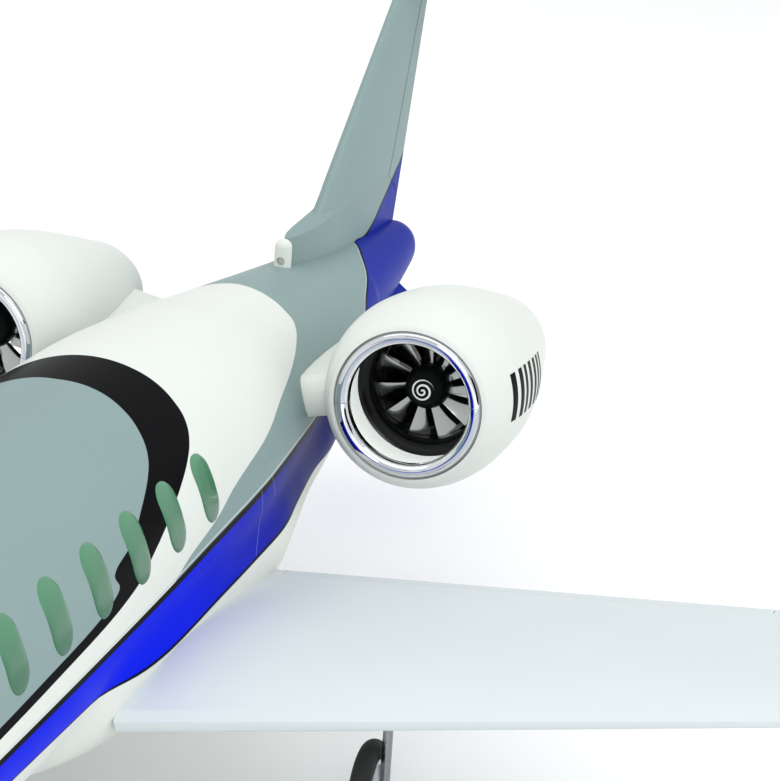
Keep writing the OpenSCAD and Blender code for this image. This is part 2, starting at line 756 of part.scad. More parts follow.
module winglet(side) color(white) craft() wing_frame(side) translate([wing_tip_x + seat, 0, 0])
    skinned([for (step = winglet_steps)
        let (chord = tip_chord + (winglet_top - tip_chord) * step[2], aft = 34 * step[2])
        [for (p = foil(chord, tip_tc * (1 - 0.35 * step[2])))
            [step[0] - p[1] * sin(step[3]), p[0] + aft, step[1] + p[1] * cos(step[3])]]]);

// NACELLES

module at_nacelle(side) translate([side * nacelle_x, nacelle_s, nacelle_z]) children();

lip_r = lip_d / 2;
lip_in_r = lip_in_d / 2;
lip_mid = (lip_r + lip_in_r) / 2;
lip_half = (lip_r - lip_in_r) / 2;
lip_deep = 5;  // depth of the lip's rounded front
lip_skirt = 8; // depth of the whole lip

// Outside of the cowl: radius, then distance behind the lip plane
cowl_r = cowl_d / 2;
cowl_tail_r = cowl_tail_d / 2;
cowl_front = [[0.04, 0.8], [0.2, 2], [0.33, 4.4], [0.5, 8], [0.66, 15], [0.88, 29], [0.99, 46], [1, 60]];
cowl_back = [[0.95, 92], [0.85, 116], [0.7, 140], [0.49, 170], [0.24, 203], [0, cowl_len]];
cowl_line = curve(concat(
    [for (p = cowl_front) [lip_r + (cowl_r - lip_r) * p[0], p[1]]],
    [for (p = cowl_back) [cowl_tail_r + (cowl_r - cowl_tail_r) * p[0], p[1]]]), 2);

// Height of the cowl's middle line at a distance behind the lip plane: level, then falling
droop_from = 15;
droop_full = 65;
function droop_at(d) = -cowl_droop * (
    d < droop_from ? 0
    : d < droop_full ? pow(d - droop_from, 2) / (2 * (droop_full - droop_from))
    : d - (droop_from + droop_full) / 2);

// The front of the cowl is turned, and the rest is skinned from a start inside the front's wall
cowl_turned = [for (p = cowl_line) if (p[1] <= droop_from) p];
cowl_seam = last(cowl_turned);
cowl_rest = [for (p = cowl_line) if (p[1] > droop_from) [p[0], p[1], droop_at(p[1])]];

// Inside of the inlet duct and of the fan shroud: radius, then distance behind the lip plane
duct_line = curve([[lip_in_r + 0.2, lip_skirt + 0.1], [40.2, 17], [42, 27], [43.6, 37], [44.2, 44]], 2);
shroud_r = shroud_d / 2;
shroud_s = last(duct_line)[1] + 0.2;
shroud_end = 110;
vane_lean = 14; // lean of a stator vane from the axis
mouth_r = last(duct_line)[0]; // inside of the shroud's bell mouth at its front
mouth_line = curve([[mouth_r, shroud_s], [41.8, 45.4], [38.4, 48.2], [36, 51.4], [shroud_r, 54]], 3);

rotor_front = 52;
rotor_back = 73;
spinner_len = 15;
hub_r = hub_d / 2;
motor_front = 81;
motor_back = 132;
pipe_line = [
    [shroud_r + shroud_t, shroud_end + 0.3], [35.4, 180], [34, cowl_len], [32.8, cowl_len + 12]];
pipe_t = 1;
pipe_steps = 8;

// Radius at a distance along an outline of [radius, distance] points
function radius_at(line, d) = row_at(d, [for (p = line) [p[1], p[0]]])[1];

// Height of the tailpipe's middle line, which goes over from the shroud's to the cowl's
function pipe_drop(d) = let (t = min(1, (d - pipe_line[0][1]) / (cowl_len - pipe_line[0][1])))
    droop_at(d) * t * t * (3 - 2 * t);
pipe_rings = [for (k = [0:pipe_steps])
    let (d = pipe_line[0][1] + (last(pipe_line)[1] - pipe_line[0][1]) * k / pipe_steps)
    [radius_at(pipe_line, d), d, pipe_drop(d)]];

// Solid skinned over rings of [radius, distance, height of the middle], grown by g
module drooped(rings, g = 0) skinned([for (p = rings) [for (a = [0:9:351])
    [-(p[0] + g) * cos(a), p[1], (p[0] + g) * sin(a) + p[2]]]]);

module cowl_skin(g = 0) drooped(concat([[cowl_seam[0] - cowl_t / 4, droop_from - 1, 0]], cowl_rest), g);
module cowl_hollow() drooped(concat(
    [[cowl_seam[0] + cowl_t / 4, droop_from - 2, 0]], cowl_rest,
    [[last(cowl_rest)[0], cowl_len + 1, droop_at(cowl_len + 1)]]), -cowl_t);

module nacelle_cowl(side) color(white) craft() at_nacelle(side) {
    ring(concat(cowl_turned, [
        [cowl_seam[0] - cowl_t, droop_from], [lip_r + seat, 12], [lip_r + seat, cowl_turned[0][1]]]));
    difference() {
        cowl_skin();
        cowl_hollow();
    }
    // ribs round the duct, the shroud and the tailpipe
    for (rib = [[lip_skirt + 0.3, duct_line[1][0] + duct_t], [64, shroud_r + shroud_t + seat],
                [100, shroud_r + shroud_t + seat], [204, radius_at(pipe_line, 204) + 0.4]])
        let (mid = rib[0] + ply_t / 2) difference() {
            translate([0, 0, droop_at(mid)])
                rod_y(rib[0], rib[0] + ply_t, radius_at(cowl_line, mid) - cowl_t / 2);
            translate([0, 0, mid > shroud_end ? pipe_drop(mid) : 0])
                rod_y(rib[0] - 1, rib[0] + ply_t + 1, rib[1]);
        }
}

module inlet_lip(side) color(chrome) craft() at_nacelle(side) difference() {
    ring(concat(
        [for (a = [0:10:180]) [lip_mid + lip_half * cos(a), lip_deep - lip_deep * sin(a)]],
        [[lip_in_r, lip_skirt], [lip_in_r + lip_t, lip_skirt]],
        [for (a = [180:-10:0])
            [lip_mid + (lip_half - lip_t) * cos(a), lip_deep - (lip_deep - lip_t) * sin(a)]],
        [[lip_r - lip_t, lip_skirt], [lip_r, lip_skirt]]));
    rotate([0, side * -lip_seam, 0]) block([-far, -far, -0.15], [far, far, 0.15]);
}

module inlet_duct(side) color(white) craft() at_nacelle(side)
    ring(concat(duct_line, [for (p = reversed(duct_line)) [p[0] + duct_t, p[1]]]));

module fan_shroud(side) color(black) craft() at_nacelle(side) {
    ring(concat(
        mouth_line,
        [[shroud_r, shroud_end], [shroud_r + shroud_t, shroud_end], [shroud_r + shroud_t, 58],
         [shroud_r + 3.4, 55], [mouth_r + duct_t, 50], [mouth_r + duct_t, shroud_s]]));
    // motor tube with its front wall, and the stator vanes
    difference() {
        rod_y(motor_front - ply_t, motor_front + 25, motor_d / 2 + 1.5);
        rod_y(motor_front, motor_front + 26, motor_d / 2 + fit);
        rod_y(motor_front - ply_t - 1, motor_front + 1, shaft_d);
    }
    for (i = [0:vane_count - 1]) rotate([0, i * 360 / vane_count + 20, 0])
        translate([0, motor_front + 12, 0]) rotate([0, 0, vane_lean])
            block([-0.8, -11, motor_d / 2 + 1], [0.8, 11, shroud_r + 0.5]);
}

module fan_motor(side) color(steel) craft() at_nacelle(side) difference() {
    ring(concat([[0, motor_front + 0.1], [motor_d / 2, motor_front + 0.1], [motor_d / 2, motor_back]],
        [for (a = [10:10:80]) [motor_d / 2 * cos(a), motor_back + 36 * sin(a)]], [[0, motor_back + 36]]));
    rod_y(motor_front - 1, motor_front + 21, shaft_d / 2 + fit);
}

blade_rows = [0, 0.2, 0.5, 0.75, 1]; // shares of a blade's height that its sections stand at
blade_dip = 1;     // depth of a blade's root in the hub
blade_chord = [21, 28];
blade_lean = [34, 58];
blade_lens = [2.6, 1.2];
blade_bow = 1.2;
blade_turn = 15;    // where the first blade stands at rest, from the top

// Point u of the way along the front or the back of a blade's section
function blade_point(r, t, u, back) =
    let (bow = 4 * u * (1 - u),
         across = (back ? 0.5 : -0.5) * (blade_lens * [1 - t, t]) * bow - blade_bow * bow,
         along = (u - 0.5) * (blade_chord * [1 - t, t]),
         lean = blade_lean * [1 - t, t],
         x = along * sin(lean) - across * cos(lean))
    [x, along * cos(lean) + across * sin(lean), sqrt(pow(r, 2) - pow(x, 2))];

// Blade of the fan, standing up from its hub: a lens bowed towards the inlet, leaning more at its tip
module blade() skinned([for (t = blade_rows)
    let (r = t == 0 ? hub_r - blade_dip : hub_r + (rotor_d / 2 - hub_r) * t)
    [for (k = [0:9]) blade_point(r, t, k < 5 ? k / 5 : (10 - k) / 5, k >= 5)]], curved_end = true);

module fan_rotor(side) color(black) craft() at_nacelle(side) {
    rod_y(rotor_front, rotor_back + 3, hub_r);
    rod_y(rotor_front - 6, motor_front + 19, shaft_d / 2);
    translate([0, (rotor_front + rotor_back) / 2, 0])
        for (i = [0:blade_count - 1]) rotate([0, i * 360 / blade_count + blade_turn, 0])
            mirror([1, 0, 0]) blade();
}

module spinner(side) color(black) craft() at_nacelle(side) difference() {
    ring(concat(
        [[0, rotor_front - seat]],
        [for (a = [0:6:84]) [hub_r * cos(a), rotor_front - seat - spinner_len * sin(a)]],
        [[0, rotor_front - seat - spinner_len]]));
    rod_y(rotor_front - 6.4, rotor_front + 1, shaft_d / 2 + fit);
}

module tailpipe(side) color(white) craft() at_nacelle(side)
    difference() {
        drooped(pipe_rings);
        drooped(concat(
            [pipe_rings[0] - [0, 1, 0]], pipe_rings, [last(pipe_rings) + [0, 1, 0]]), -pipe_t);
    }

// Pylon section: a blunt round nose, then a long taper
function pylon_half(d) = d < pylon_t / 2
    ? sqrt(pow(pylon_t / 2, 2) - pow(pylon_t / 2 - d, 2))
    : pylon_t / 2 * (1 - 0.86 * pow((d - pylon_t / 2) / (pylon_len - pylon_t / 2), 1.7));
pylon_cuts = concat([for (a = [0:12:84]) pylon_t / 2 * (1 - cos(a))], [for (k = [0:8])
    pylon_t / 2 + (pylon_len - pylon_t / 2) * k / 8]);
pylon_fore = 24;    // distance of the pylon's front behind the lip plane
pylon_climb = 12.5; // slope of the pylon towards the nacelle
pylon_x = 75;
pylon_z = 26;

module pylon(side) color(white) craft() mirrored_to(side) difference() {
    translate([pylon_x, nacelle_s + pylon_fore, pylon_z]) rotate([0, -pylon_climb, 0])
        translate([-40, 0, 0]) rotate([90, 0, 90]) linear_extrude(84) polygon(concat(
            [for (d = pylon_cuts) [d, pylon_half(d)]],
            [for (i = [len(pylon_cuts) - 1:-1:1]) [pylon_cuts[i], -pylon_half(pylon_cuts[i])]]));
    tail_frame() turned(tail_line, seat);
    at_nacelle(LEFT) cowl_skin(seat);
}

// LANDING GEAR

nose_leg = axis_z - nose_pivot_drop - nose_tyre_d / 2;
nose_pivot = [0, nose_gear_s, -nose_pivot_drop];
main_pivot = [
    main_gear_x * cos(dihedral) + main_pivot_drop * sin(dihedral),
    wing_te - main_fore,
    main_gear_x * sin(dihedral) - main_pivot_drop * cos(dihedral) - wing_drop];
main_leg_len = axis_z + main_pivot[2] - main_tyre_d / 2;
wheel_out = 9.5; // middle of a main wheel inboard of its leg
well_room = 2;   // room round a wheel in its well
well_roof = 1.2; // room over a main wheel in its well
trunnion_r = leg_d / 2 + 1.6;

module nose_well() block(
    [-22, nose_gear_s - nose_leg - nose_tyre_d / 2 - well_room, -far], [22, nose_gear_s + 13, -30]);

// Well of a main leg and its wheel, open below, in the wing's own frame
module main_well(side) wing_frame(side) translate([0, -main_fore, 0]) {
    translate([main_gear_x - main_leg_len, 0, -far])
        cylinder(h = far + wheel_out + main_tyre_w / 2 - main_pivot_drop + well_roof,
            r = main_tyre_d / 2 + well_room);
    block([main_gear_x - main_leg_len, -leg_d, -far],
          [main_gear_x, leg_d, trunnion_r - main_pivot_drop + 0.4]);
    block([main_gear_x - unit_half - seat, -unit_half - seat, -far],
          [main_gear_x + unit_half + seat, unit_half + seat, unit_top - main_pivot_drop + seat]);
}

// Retract unit with its pivot at the origin and along +Y: two cheeks under a web
unit_half = 15;
unit_top = 7.5;
unit_low = 4.2;
cheek_in = 9;

module unit(top = unit_top, low = unit_low) difference() {
    block([-unit_half, -unit_half, -low], [unit_half, unit_half, top]);
    block([-far, -cheek_in, -far], [far, cheek_in, top - 2.5]);
    rod_y(-far, far, leg_d / 2 - 0.5 + fit);
}

module retract_units() color(steel) craft() {
    translate(nose_pivot) rotate([0, 0, 90]) unit(nose_pivot_drop - tray_drop - ply_t - seat, 6);
    for (side = SIDES) wing_frame(side) translate([main_gear_x, -main_fore, -main_pivot_drop]) unit();
}

module nose_trunnion() color(steel) craft() translate(nose_pivot) difference() {
    union() {
        rod_x(-cheek_in + 0.3, cheek_in - 0.3, trunnion_r);
        rod_x(-unit_half, unit_half, leg_d / 2 - 0.5);
        translate([0, 0, -52]) cylinder(h = 52, r = trunnion_r);
    }
    translate([0, 0, -53]) cylinder(h = 33, r = leg_d / 2 + fit);
}

fork_in = nose_tyre_w / 2 + 1.2;
fork_t = 2;

module nose_fork() color(steel) craft() translate(nose_pivot) {
    translate([0, 0, -64]) cylinder(h = 43, r = leg_d / 2);
    block([-fork_in - fork_t, -4, -67], [fork_in + fork_t, 4, -63]);
    for (side = SIDES) mirrored_to(side) {
        block([fork_in, -4, -nose_leg], [fork_in + fork_t, 4, -63]);
        translate([0, 0, -nose_leg]) rod_x(fork_in, fork_in + fork_t, 4);
    }
    translate([0, 0, -nose_leg]) rod_x(-fork_in - 1, fork_in + 1, axle_d / 2);
}

// Tyre of outside radius r on a hub of radius hub, w wide, with round shoulders
module tyre(r, hub, w) ring(concat(
    [[hub, -w * 0.36], [hub + 2, -w / 2]],
    [for (a = [-80:16:80]) [r - w * 0.45 + w * 0.45 * cos(a), w / 2 * sin(a)]],
    [[hub + 2, w / 2], [hub, w * 0.36]]));

// Wheel hub of radius r, w wide, dished on both sides, with a bore for its axle
module hub(r, w) difference() {
    rod_y(-w / 2, w / 2, r);
    for (y = [-w / 2 - 1, w / 2 - 2]) translate([0, y, 0]) rod_y(0, 3, r - 3);
    rod_y(-w, w, axle_d / 2 + fit);
}

module nose_hub() color(steel) craft() translate(nose_pivot - [0, 0, nose_leg])
    rotate([0, 0, 90]) hub(nose_hub_d / 2 - fit, nose_tyre_w * 0.9);
module nose_tyre() color(rubber) craft() translate(nose_pivot - [0, 0, nose_leg])
    rotate([0, 0, 90]) tyre(nose_tyre_d / 2, nose_hub_d / 2, nose_tyre_w);

module main_leg(side) color(steel) craft() mirrored_to(side) translate(main_pivot) {
    rod_y(-cheek_in + 0.3, cheek_in - 0.3, trunnion_r);
    rod_y(-unit_half, unit_half, leg_d / 2 - 0.5);
    translate([0, 0, -main_leg_len]) {
        cylinder(h = main_leg_len, r = leg_d / 2);
        rod_x(-wheel_out - main_tyre_w / 2, 0, axle_d / 2);
        sphere(r = leg_d / 2 + 0.8);
    }
}

module at_main_wheel(side) mirrored_to(side) translate(main_pivot - [wheel_out, 0, main_leg_len])
    rotate([0, 0, 90]) children();
module main_hub(side) color(steel) craft() at_main_wheel(side) hub(main_hub_d / 2 - fit, main_tyre_w * 0.85);
module main_tyre(side) color(rubber) craft() at_main_wheel(side)
    tyre(main_tyre_d / 2, main_hub_d / 2, main_tyre_w);

// EQUIPMENT

// Stations of the three formers, of which the first two carry the ends of the hatch
former_s = [hatch_s - ply_t / 2, hatch_s + hatch_len - ply_t / 2, tail_s - 95];
former_wall = 12;
accessory_s = tail_s - 182;
tray_nose = nose_gear_s - 38;

module equipment_tray() color(wood) craft() {
    difference() {
        union() {
            translate([0, 0, -tray_drop - ply_t]) {
                block([-tray_w / 2, former_s[0], 0], [tray_w / 2, last(former_s) + ply_t, ply_t]);
                block([-tray_w * 0.3, tray_nose, 0], [tray_w * 0.3, former_s[0] + 1, ply_t]);
            }
        }
        for (x = [-0.5, 0.5], y = [-0.5, 0.5])
            translate([x * accessory_pitch, accessory_s + y * accessory_pitch, -tray_drop - ply_t - 1])
                cylinder(h = ply_t + 2, r = accessory_d / 2);
    }
    for (s = former_s) difference() {
        rod_y(s, s + ply_t, cabin_r - skin_t - seat);
        intersection() {
            rod_y(s - 1, s + ply_t + 1, cabin_r - skin_t - former_wall);
            block([-far, s - 2, -tray_drop - ply_t / 2], [far, s + ply_t + 2, far]);
        }
    }
}

module on_tray(s) translate([0, s, -tray_drop + seat]) children();

module battery() color(blue) craft() on_tray(hatch_s + 28)
    block([-battery_w / 2, 0, 0], [battery_w / 2, battery_len, battery_h]);

controller_w = 32;
module speed_controllers() color(black) craft() on_tray(hatch_s + 28 + battery_len + 20)
    for (side = SIDES) mirrored_to(side) {
        block([3, 0, 0], [3 + controller_w, controller_len, 8]);
        for (i = [0:5]) block([5 + i * 5, 4, 7.5], [6.5 + i * 5, controller_len - 4, 15]);
    }

module receiver() color(black) craft()
    on_tray(hatch_s + hatch_len + 32) block([-14, 0, 0], [14, receiver_len, 14]);

// Servo standing on its case, with its ears and output gear
module servo() {
    block([-servo_w / 2, -servo_len / 2, 0], [servo_w / 2, servo_len / 2, servo_h]);
    translate([0, servo_len * 0.24, servo_h]) cylinder(h = 3, r = servo_w * 0.3);
}

servo_places = [for (p = [[250, 112], [520, 84]]) [p[0], -p[1], servo_w / 2 + 0.8 - wing_half(p[0], p[1])]];

module servos() color(black) craft() {
    on_tray(tail_s - 240) for (side = SIDES) mirrored_to(side) translate([16, 0, 0]) servo();
    for (side = SIDES) wing_frame(side) for (place = servo_places)
        translate(place) translate([-servo_h / 2, 0, 0]) along_x()
            block([-servo_w / 2, -servo_len / 2, 0], [servo_w / 2, servo_len / 2, servo_h]);
}

nose_shell();
cabin_shell();
tail_shell();
cockpit_glass();
cabin_windows();
hatch();
belly_fairing();
belly_screws();
dorsal_scoop();
fin();
rudder();
tailplane();
elevator(LEFT);  // elevator_left
elevator(RIGHT);  // elevator_right
elevator_joiner();
delta_fin(LEFT);  // delta_fin_left
delta_fin(RIGHT);  // delta_fin_right
wing(LEFT);  // wing_left
wing(RIGHT);  // wing_right
wing_joiners();
winglet(LEFT);  // winglet_left
winglet(RIGHT);  // winglet_right
flap(LEFT);  // flap_left
flap(RIGHT);  // flap_right
aileron(LEFT);  // aileron_left
aileron(RIGHT);  // aileron_right
pylon(LEFT);  // pylon_left
pylon(RIGHT);  // pylon_right
nacelle_cowl(LEFT);  // nacelle_left
nacelle_cowl(RIGHT);  // nacelle_right
inlet_lip(LEFT);  // inlet_lip_left
inlet_lip(RIGHT);  // inlet_lip_right
inlet_duct(LEFT);  // inlet_duct_left
inlet_duct(RIGHT);  // inlet_duct_right
fan_shroud(LEFT);  // fan_shroud_left
fan_shroud(RIGHT);  // fan_shroud_right
fan_motor(LEFT);  // fan_motor_left
fan_motor(RIGHT);  // fan_motor_right
fan_rotor(LEFT);  // fan_rotor_left
fan_rotor(RIGHT);  // fan_rotor_right
spinner(LEFT);  // spinner_left
spinner(RIGHT);  // spinner_right
tailpipe(LEFT);  // tailpipe_left
tailpipe(RIGHT);  // tailpipe_right
equipment_tray();
battery();
speed_controllers();
receiver();
servos();
retract_units();
nose_trunnion();
nose_fork();
nose_hub();
nose_tyre();
main_leg(LEFT);  // main_leg_left
main_leg(RIGHT);  // main_leg_right
main_hub(LEFT);  // main_hub_left
main_hub(RIGHT);  // main_hub_right
main_tyre(LEFT);  // main_tyre_left
main_tyre(RIGHT);  // main_tyre_right
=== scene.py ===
# %% [markdown]
# # A ducted-fan business jet, dressed for its portrait
#
# This lesson takes the engineering model of a radio-controlled jet and gives it the skin of the
# real one: printed film over smooth shells, chrome inlet lips, glossy fan blades and soft green
# windows.
#
# Two kinds of pieces end up in the scene. Engineering nodes whose shape is already right keep
# their mesh and get a material. Nodes that were built coarsely, such as a shell made of bands,
# are replaced by finer pieces that follow the same measurements.

import json
import math

import bmesh
import bpy
from mathutils import Matrix, Vector

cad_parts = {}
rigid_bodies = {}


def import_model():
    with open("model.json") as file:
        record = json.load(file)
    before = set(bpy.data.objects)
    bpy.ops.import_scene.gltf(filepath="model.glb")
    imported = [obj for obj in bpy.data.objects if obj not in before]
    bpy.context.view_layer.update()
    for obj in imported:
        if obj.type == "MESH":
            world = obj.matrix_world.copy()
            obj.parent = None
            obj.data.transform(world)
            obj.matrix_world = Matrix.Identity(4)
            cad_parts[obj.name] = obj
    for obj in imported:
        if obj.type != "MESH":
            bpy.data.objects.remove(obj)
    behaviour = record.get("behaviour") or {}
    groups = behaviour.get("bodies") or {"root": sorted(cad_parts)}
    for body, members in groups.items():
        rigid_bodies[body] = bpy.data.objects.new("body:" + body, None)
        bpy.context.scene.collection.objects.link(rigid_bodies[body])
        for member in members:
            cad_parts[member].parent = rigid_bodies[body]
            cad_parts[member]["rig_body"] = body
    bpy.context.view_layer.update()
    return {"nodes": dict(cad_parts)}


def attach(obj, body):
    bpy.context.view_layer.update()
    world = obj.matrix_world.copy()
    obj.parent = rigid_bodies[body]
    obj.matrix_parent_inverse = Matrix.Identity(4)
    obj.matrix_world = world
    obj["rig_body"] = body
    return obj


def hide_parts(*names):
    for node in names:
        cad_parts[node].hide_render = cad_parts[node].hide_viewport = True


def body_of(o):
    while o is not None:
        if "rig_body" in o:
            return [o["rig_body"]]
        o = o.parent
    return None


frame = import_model()
nodes = frame["nodes"]
print("nodes loaded:", len(nodes))

# %% [markdown]
# ## Measures
#
# Everything is named in millimetres, in the draughtsman's way: X to port, a station counted aft
# from the nose tip, and a height counted from the cabin's axis. One function turns that into the
# scene's metres, so no other line has to know where the scene's origin lies.

# %% Measures
MM = 0.001
NOSE_LEN = 330.0
TAIL_S = 1000.0
TAIL_LEN = 654.0
TAIL_RISE = 20.0
NOSE_DROOP = 34.0
LENGTH = 1730.0
AXIS_Z = 172.0
CABIN_R = 90.0
SKIN = 3.0
WING_TE = 1064.0
HATCH_S = 352.0
HATCH_LEN = 284.0
HATCH_HALF = 66.5
NACELLE_X = 148.0
NACELLE_Z = 39.0
NACELLE_S = 1130.0
TAIL_END = TAIL_S + TAIL_LEN
HATCH_END = HATCH_S + HATCH_LEN
TAU = 2 * math.pi
SIDES = ((1, "left"), (-1, "right"))  # port and starboard, with the sign of X


def place(x, s, z):
    """Point of the scene at x to port, station s and height z above the cabin's axis."""
    return Vector((x, s - LENGTH / 2, AXIS_Z + z)) * MM


def at_nacelle(side, x, d, z):
    """Point by the nacelle's own axis, d behind the plane of the inlet lip."""
    return place(side * NACELLE_X + x, NACELLE_S + d, NACELLE_Z + z)


def bend(a, b, c, d, t):
    """Point t of the way from b to c on a smooth curve through four points."""
    square, cube = 2 * a - 5 * b + 4 * c - d, 3 * b - a - 3 * c + d
    return 0.5 * (2 * b + (c - a) * t + square * t**2 + cube * t**3)


def curve(points, steps=6):
    """Smooth curve through the points, which may have any number of coordinates."""
    rows = [Vector(p) for p in points]
    out = []
    for i in range(len(rows) - 1):
        before, after = rows[max(i - 1, 0)], rows[min(i + 2, len(rows) - 1)]
        out += [bend(before, rows[i], rows[i + 1], after, k / steps) for k in range(steps)]
    return out + [rows[-1]]


def look_up(rows, x):
    """Row of a table at x, between the rows that start with their x."""
    for a, b in zip(rows, rows[1:]):
        if x <= b[0]:
            break
    t = (x - a[0]) / (b[0] - a[0])
    return a.lerp(b, t)


def tail_axis(s):
    """Height of the tail's axis, which climbs from the end of the cabin."""
    return max(0.0, s - TAIL_S) * TAIL_RISE / TAIL_LEN


print("length over all:", LENGTH, "mm")

# %% [markdown]
# ## Turning points into pieces
#
# Most new pieces come from three recipes: a closed outline turned about a nacelle's axis, a stack
# of sections joined in order, and a copy of an engineering node whose loose facets are welded so
# that light runs smoothly over them. Shading stays sharp only where faces meet at a real edge.

# %% Recipes for meshes
CREASE = math.radians(32)
WELD = 0.002 * MM


def piece(name, verts, faces, body, paint, replaced=(), crease=CREASE):
    """A smooth-shaded mesh that rides on a body and stands for the nodes it replaces."""
    mesh = bpy.data.meshes.new(name)
    mesh.from_pydata(verts, [], faces)
    work = bmesh.new()
    work.from_mesh(mesh)
    bmesh.ops.remove_doubles(work, verts=work.verts, dist=WELD)
    bmesh.ops.recalc_face_normals(work, faces=work.faces)
    work.to_mesh(mesh)
    work.free()
    mesh.shade_smooth()
    mesh.set_sharp_from_angle(angle=crease)
    shape = bpy.data.objects.new(name, mesh)
    bpy.context.scene.collection.objects.link(shape)
    mesh.materials.append(paint)
    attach(shape, body)
    if replaced:
        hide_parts(*replaced)
    return shape


def lofted(rings, closed=True, capped=True, wrap=False):
    """Vertices and faces of rings joined in order, with caps on the ends or wrapped into a tube."""
    count = len(rings[0])
    verts = [v for ring in rings for v in ring]
    faces = []
    last = len(rings) if wrap else len(rings) - 1
    for i in range(last):
        a, b = i * count, (i + 1) % len(rings) * count
        for j in range(count if closed else count - 1):
            k = (j + 1) % count
            faces.append((a + j, a + k, b + k, b + j))
    if capped and not wrap:
        faces.append(tuple(reversed(range(count))))
        faces.append(tuple(range((len(rings) - 1) * count, len(rings) * count)))
    return verts, faces


def joined(parts):
    """One mesh from several, each given as its vertices and faces."""
    verts, faces = [], []
    for points, cells in parts:
        faces += [tuple(k + len(verts) for k in cell) for cell in cells]
        verts += points
    return verts, faces


def level(d):
    """Middle line that stays on the nacelle's axis."""
    return 0.0


def turned(side, outline, steps=144, start=0.0, sweep=TAU, middle=level):
    """A closed outline of (radius, distance) points turned about a nacelle's axis, or about a
    middle line whose height is given for each distance."""
    full = abs(sweep - TAU) < 1e-6
    rings = []
    for i in range(steps if full else steps + 1):
        a = start + sweep * i / steps
        c, n = math.cos(a), math.sin(a)
        rings.append([at_nacelle(side, r * c, d, r * n + middle(d)) for r, d in outline])
    return lofted(rings, wrap=full)


def refined(node, paint, crease=CREASE):
    """A welded copy of an engineering node, which it replaces."""
    source = nodes[node]
    verts = [v.co.copy() for v in source.data.vertices]
    faces = [tuple(f.vertices) for f in source.data.polygons]
    return piece(f"{node}_finish", verts, faces, body_of(source)[0], paint, [node], crease)


# %% [markdown]
# ## The camera
#
# The photograph was taken from in front, above and to port with a long lens. The pose below was
# worked out from the parallel lines of the fuselage and the rings of the near nacelle. The sensor
# is as wide as the frame's long side.

# %% Camera
RIGHT = Vector((0.961, 0.268, 0.065)).normalized()
UP = Vector((-0.135, 0.249, 0.959))
UP = (UP - RIGHT * UP.dot(RIGHT)).normalized()
EYE = (0.568, -1.401, 0.713)
LENS = 133.7

camera = bpy.data.objects.new("camera", bpy.data.cameras.new("camera"))
bpy.context.scene.collection.objects.link(camera)
back = RIGHT.cross(UP)
camera.matrix_world = Matrix((
    (RIGHT.x, UP.x, back.x, EYE[0]),
    (RIGHT.y, UP.y, back.y, EYE[1]),
    (RIGHT.z, UP.z, back.z, EYE[2]),
    (0, 0, 0, 1)))
camera.data.lens = LENS
camera.data.sensor_width = 36.0
camera.data.sensor_fit = "AUTO"
camera.data.clip_start = 0.05
camera.data.clip_end = 60.0
bpy.context.scene.camera = camera
print("camera looks along", tuple(round(c, 3) for c in -back))

# %% [markdown]
# ## Writing shaders in short
#
# A node tree written link by link is hard to read. The small class below adds a node, sets or
# links its inputs by name and hands back its output, so that a shader reads like a formula.

# %% A short hand for node trees
def linear(r, g, b):
    """Colour from 0-255 screen values, as the renderer wants it."""
    def one(c):
        c /= 255
        return c / 12.92 if c <= 0.04045 else ((c + 0.055) / 1.055) ** 2.4
    return (one(r), one(g), one(b), 1.0)


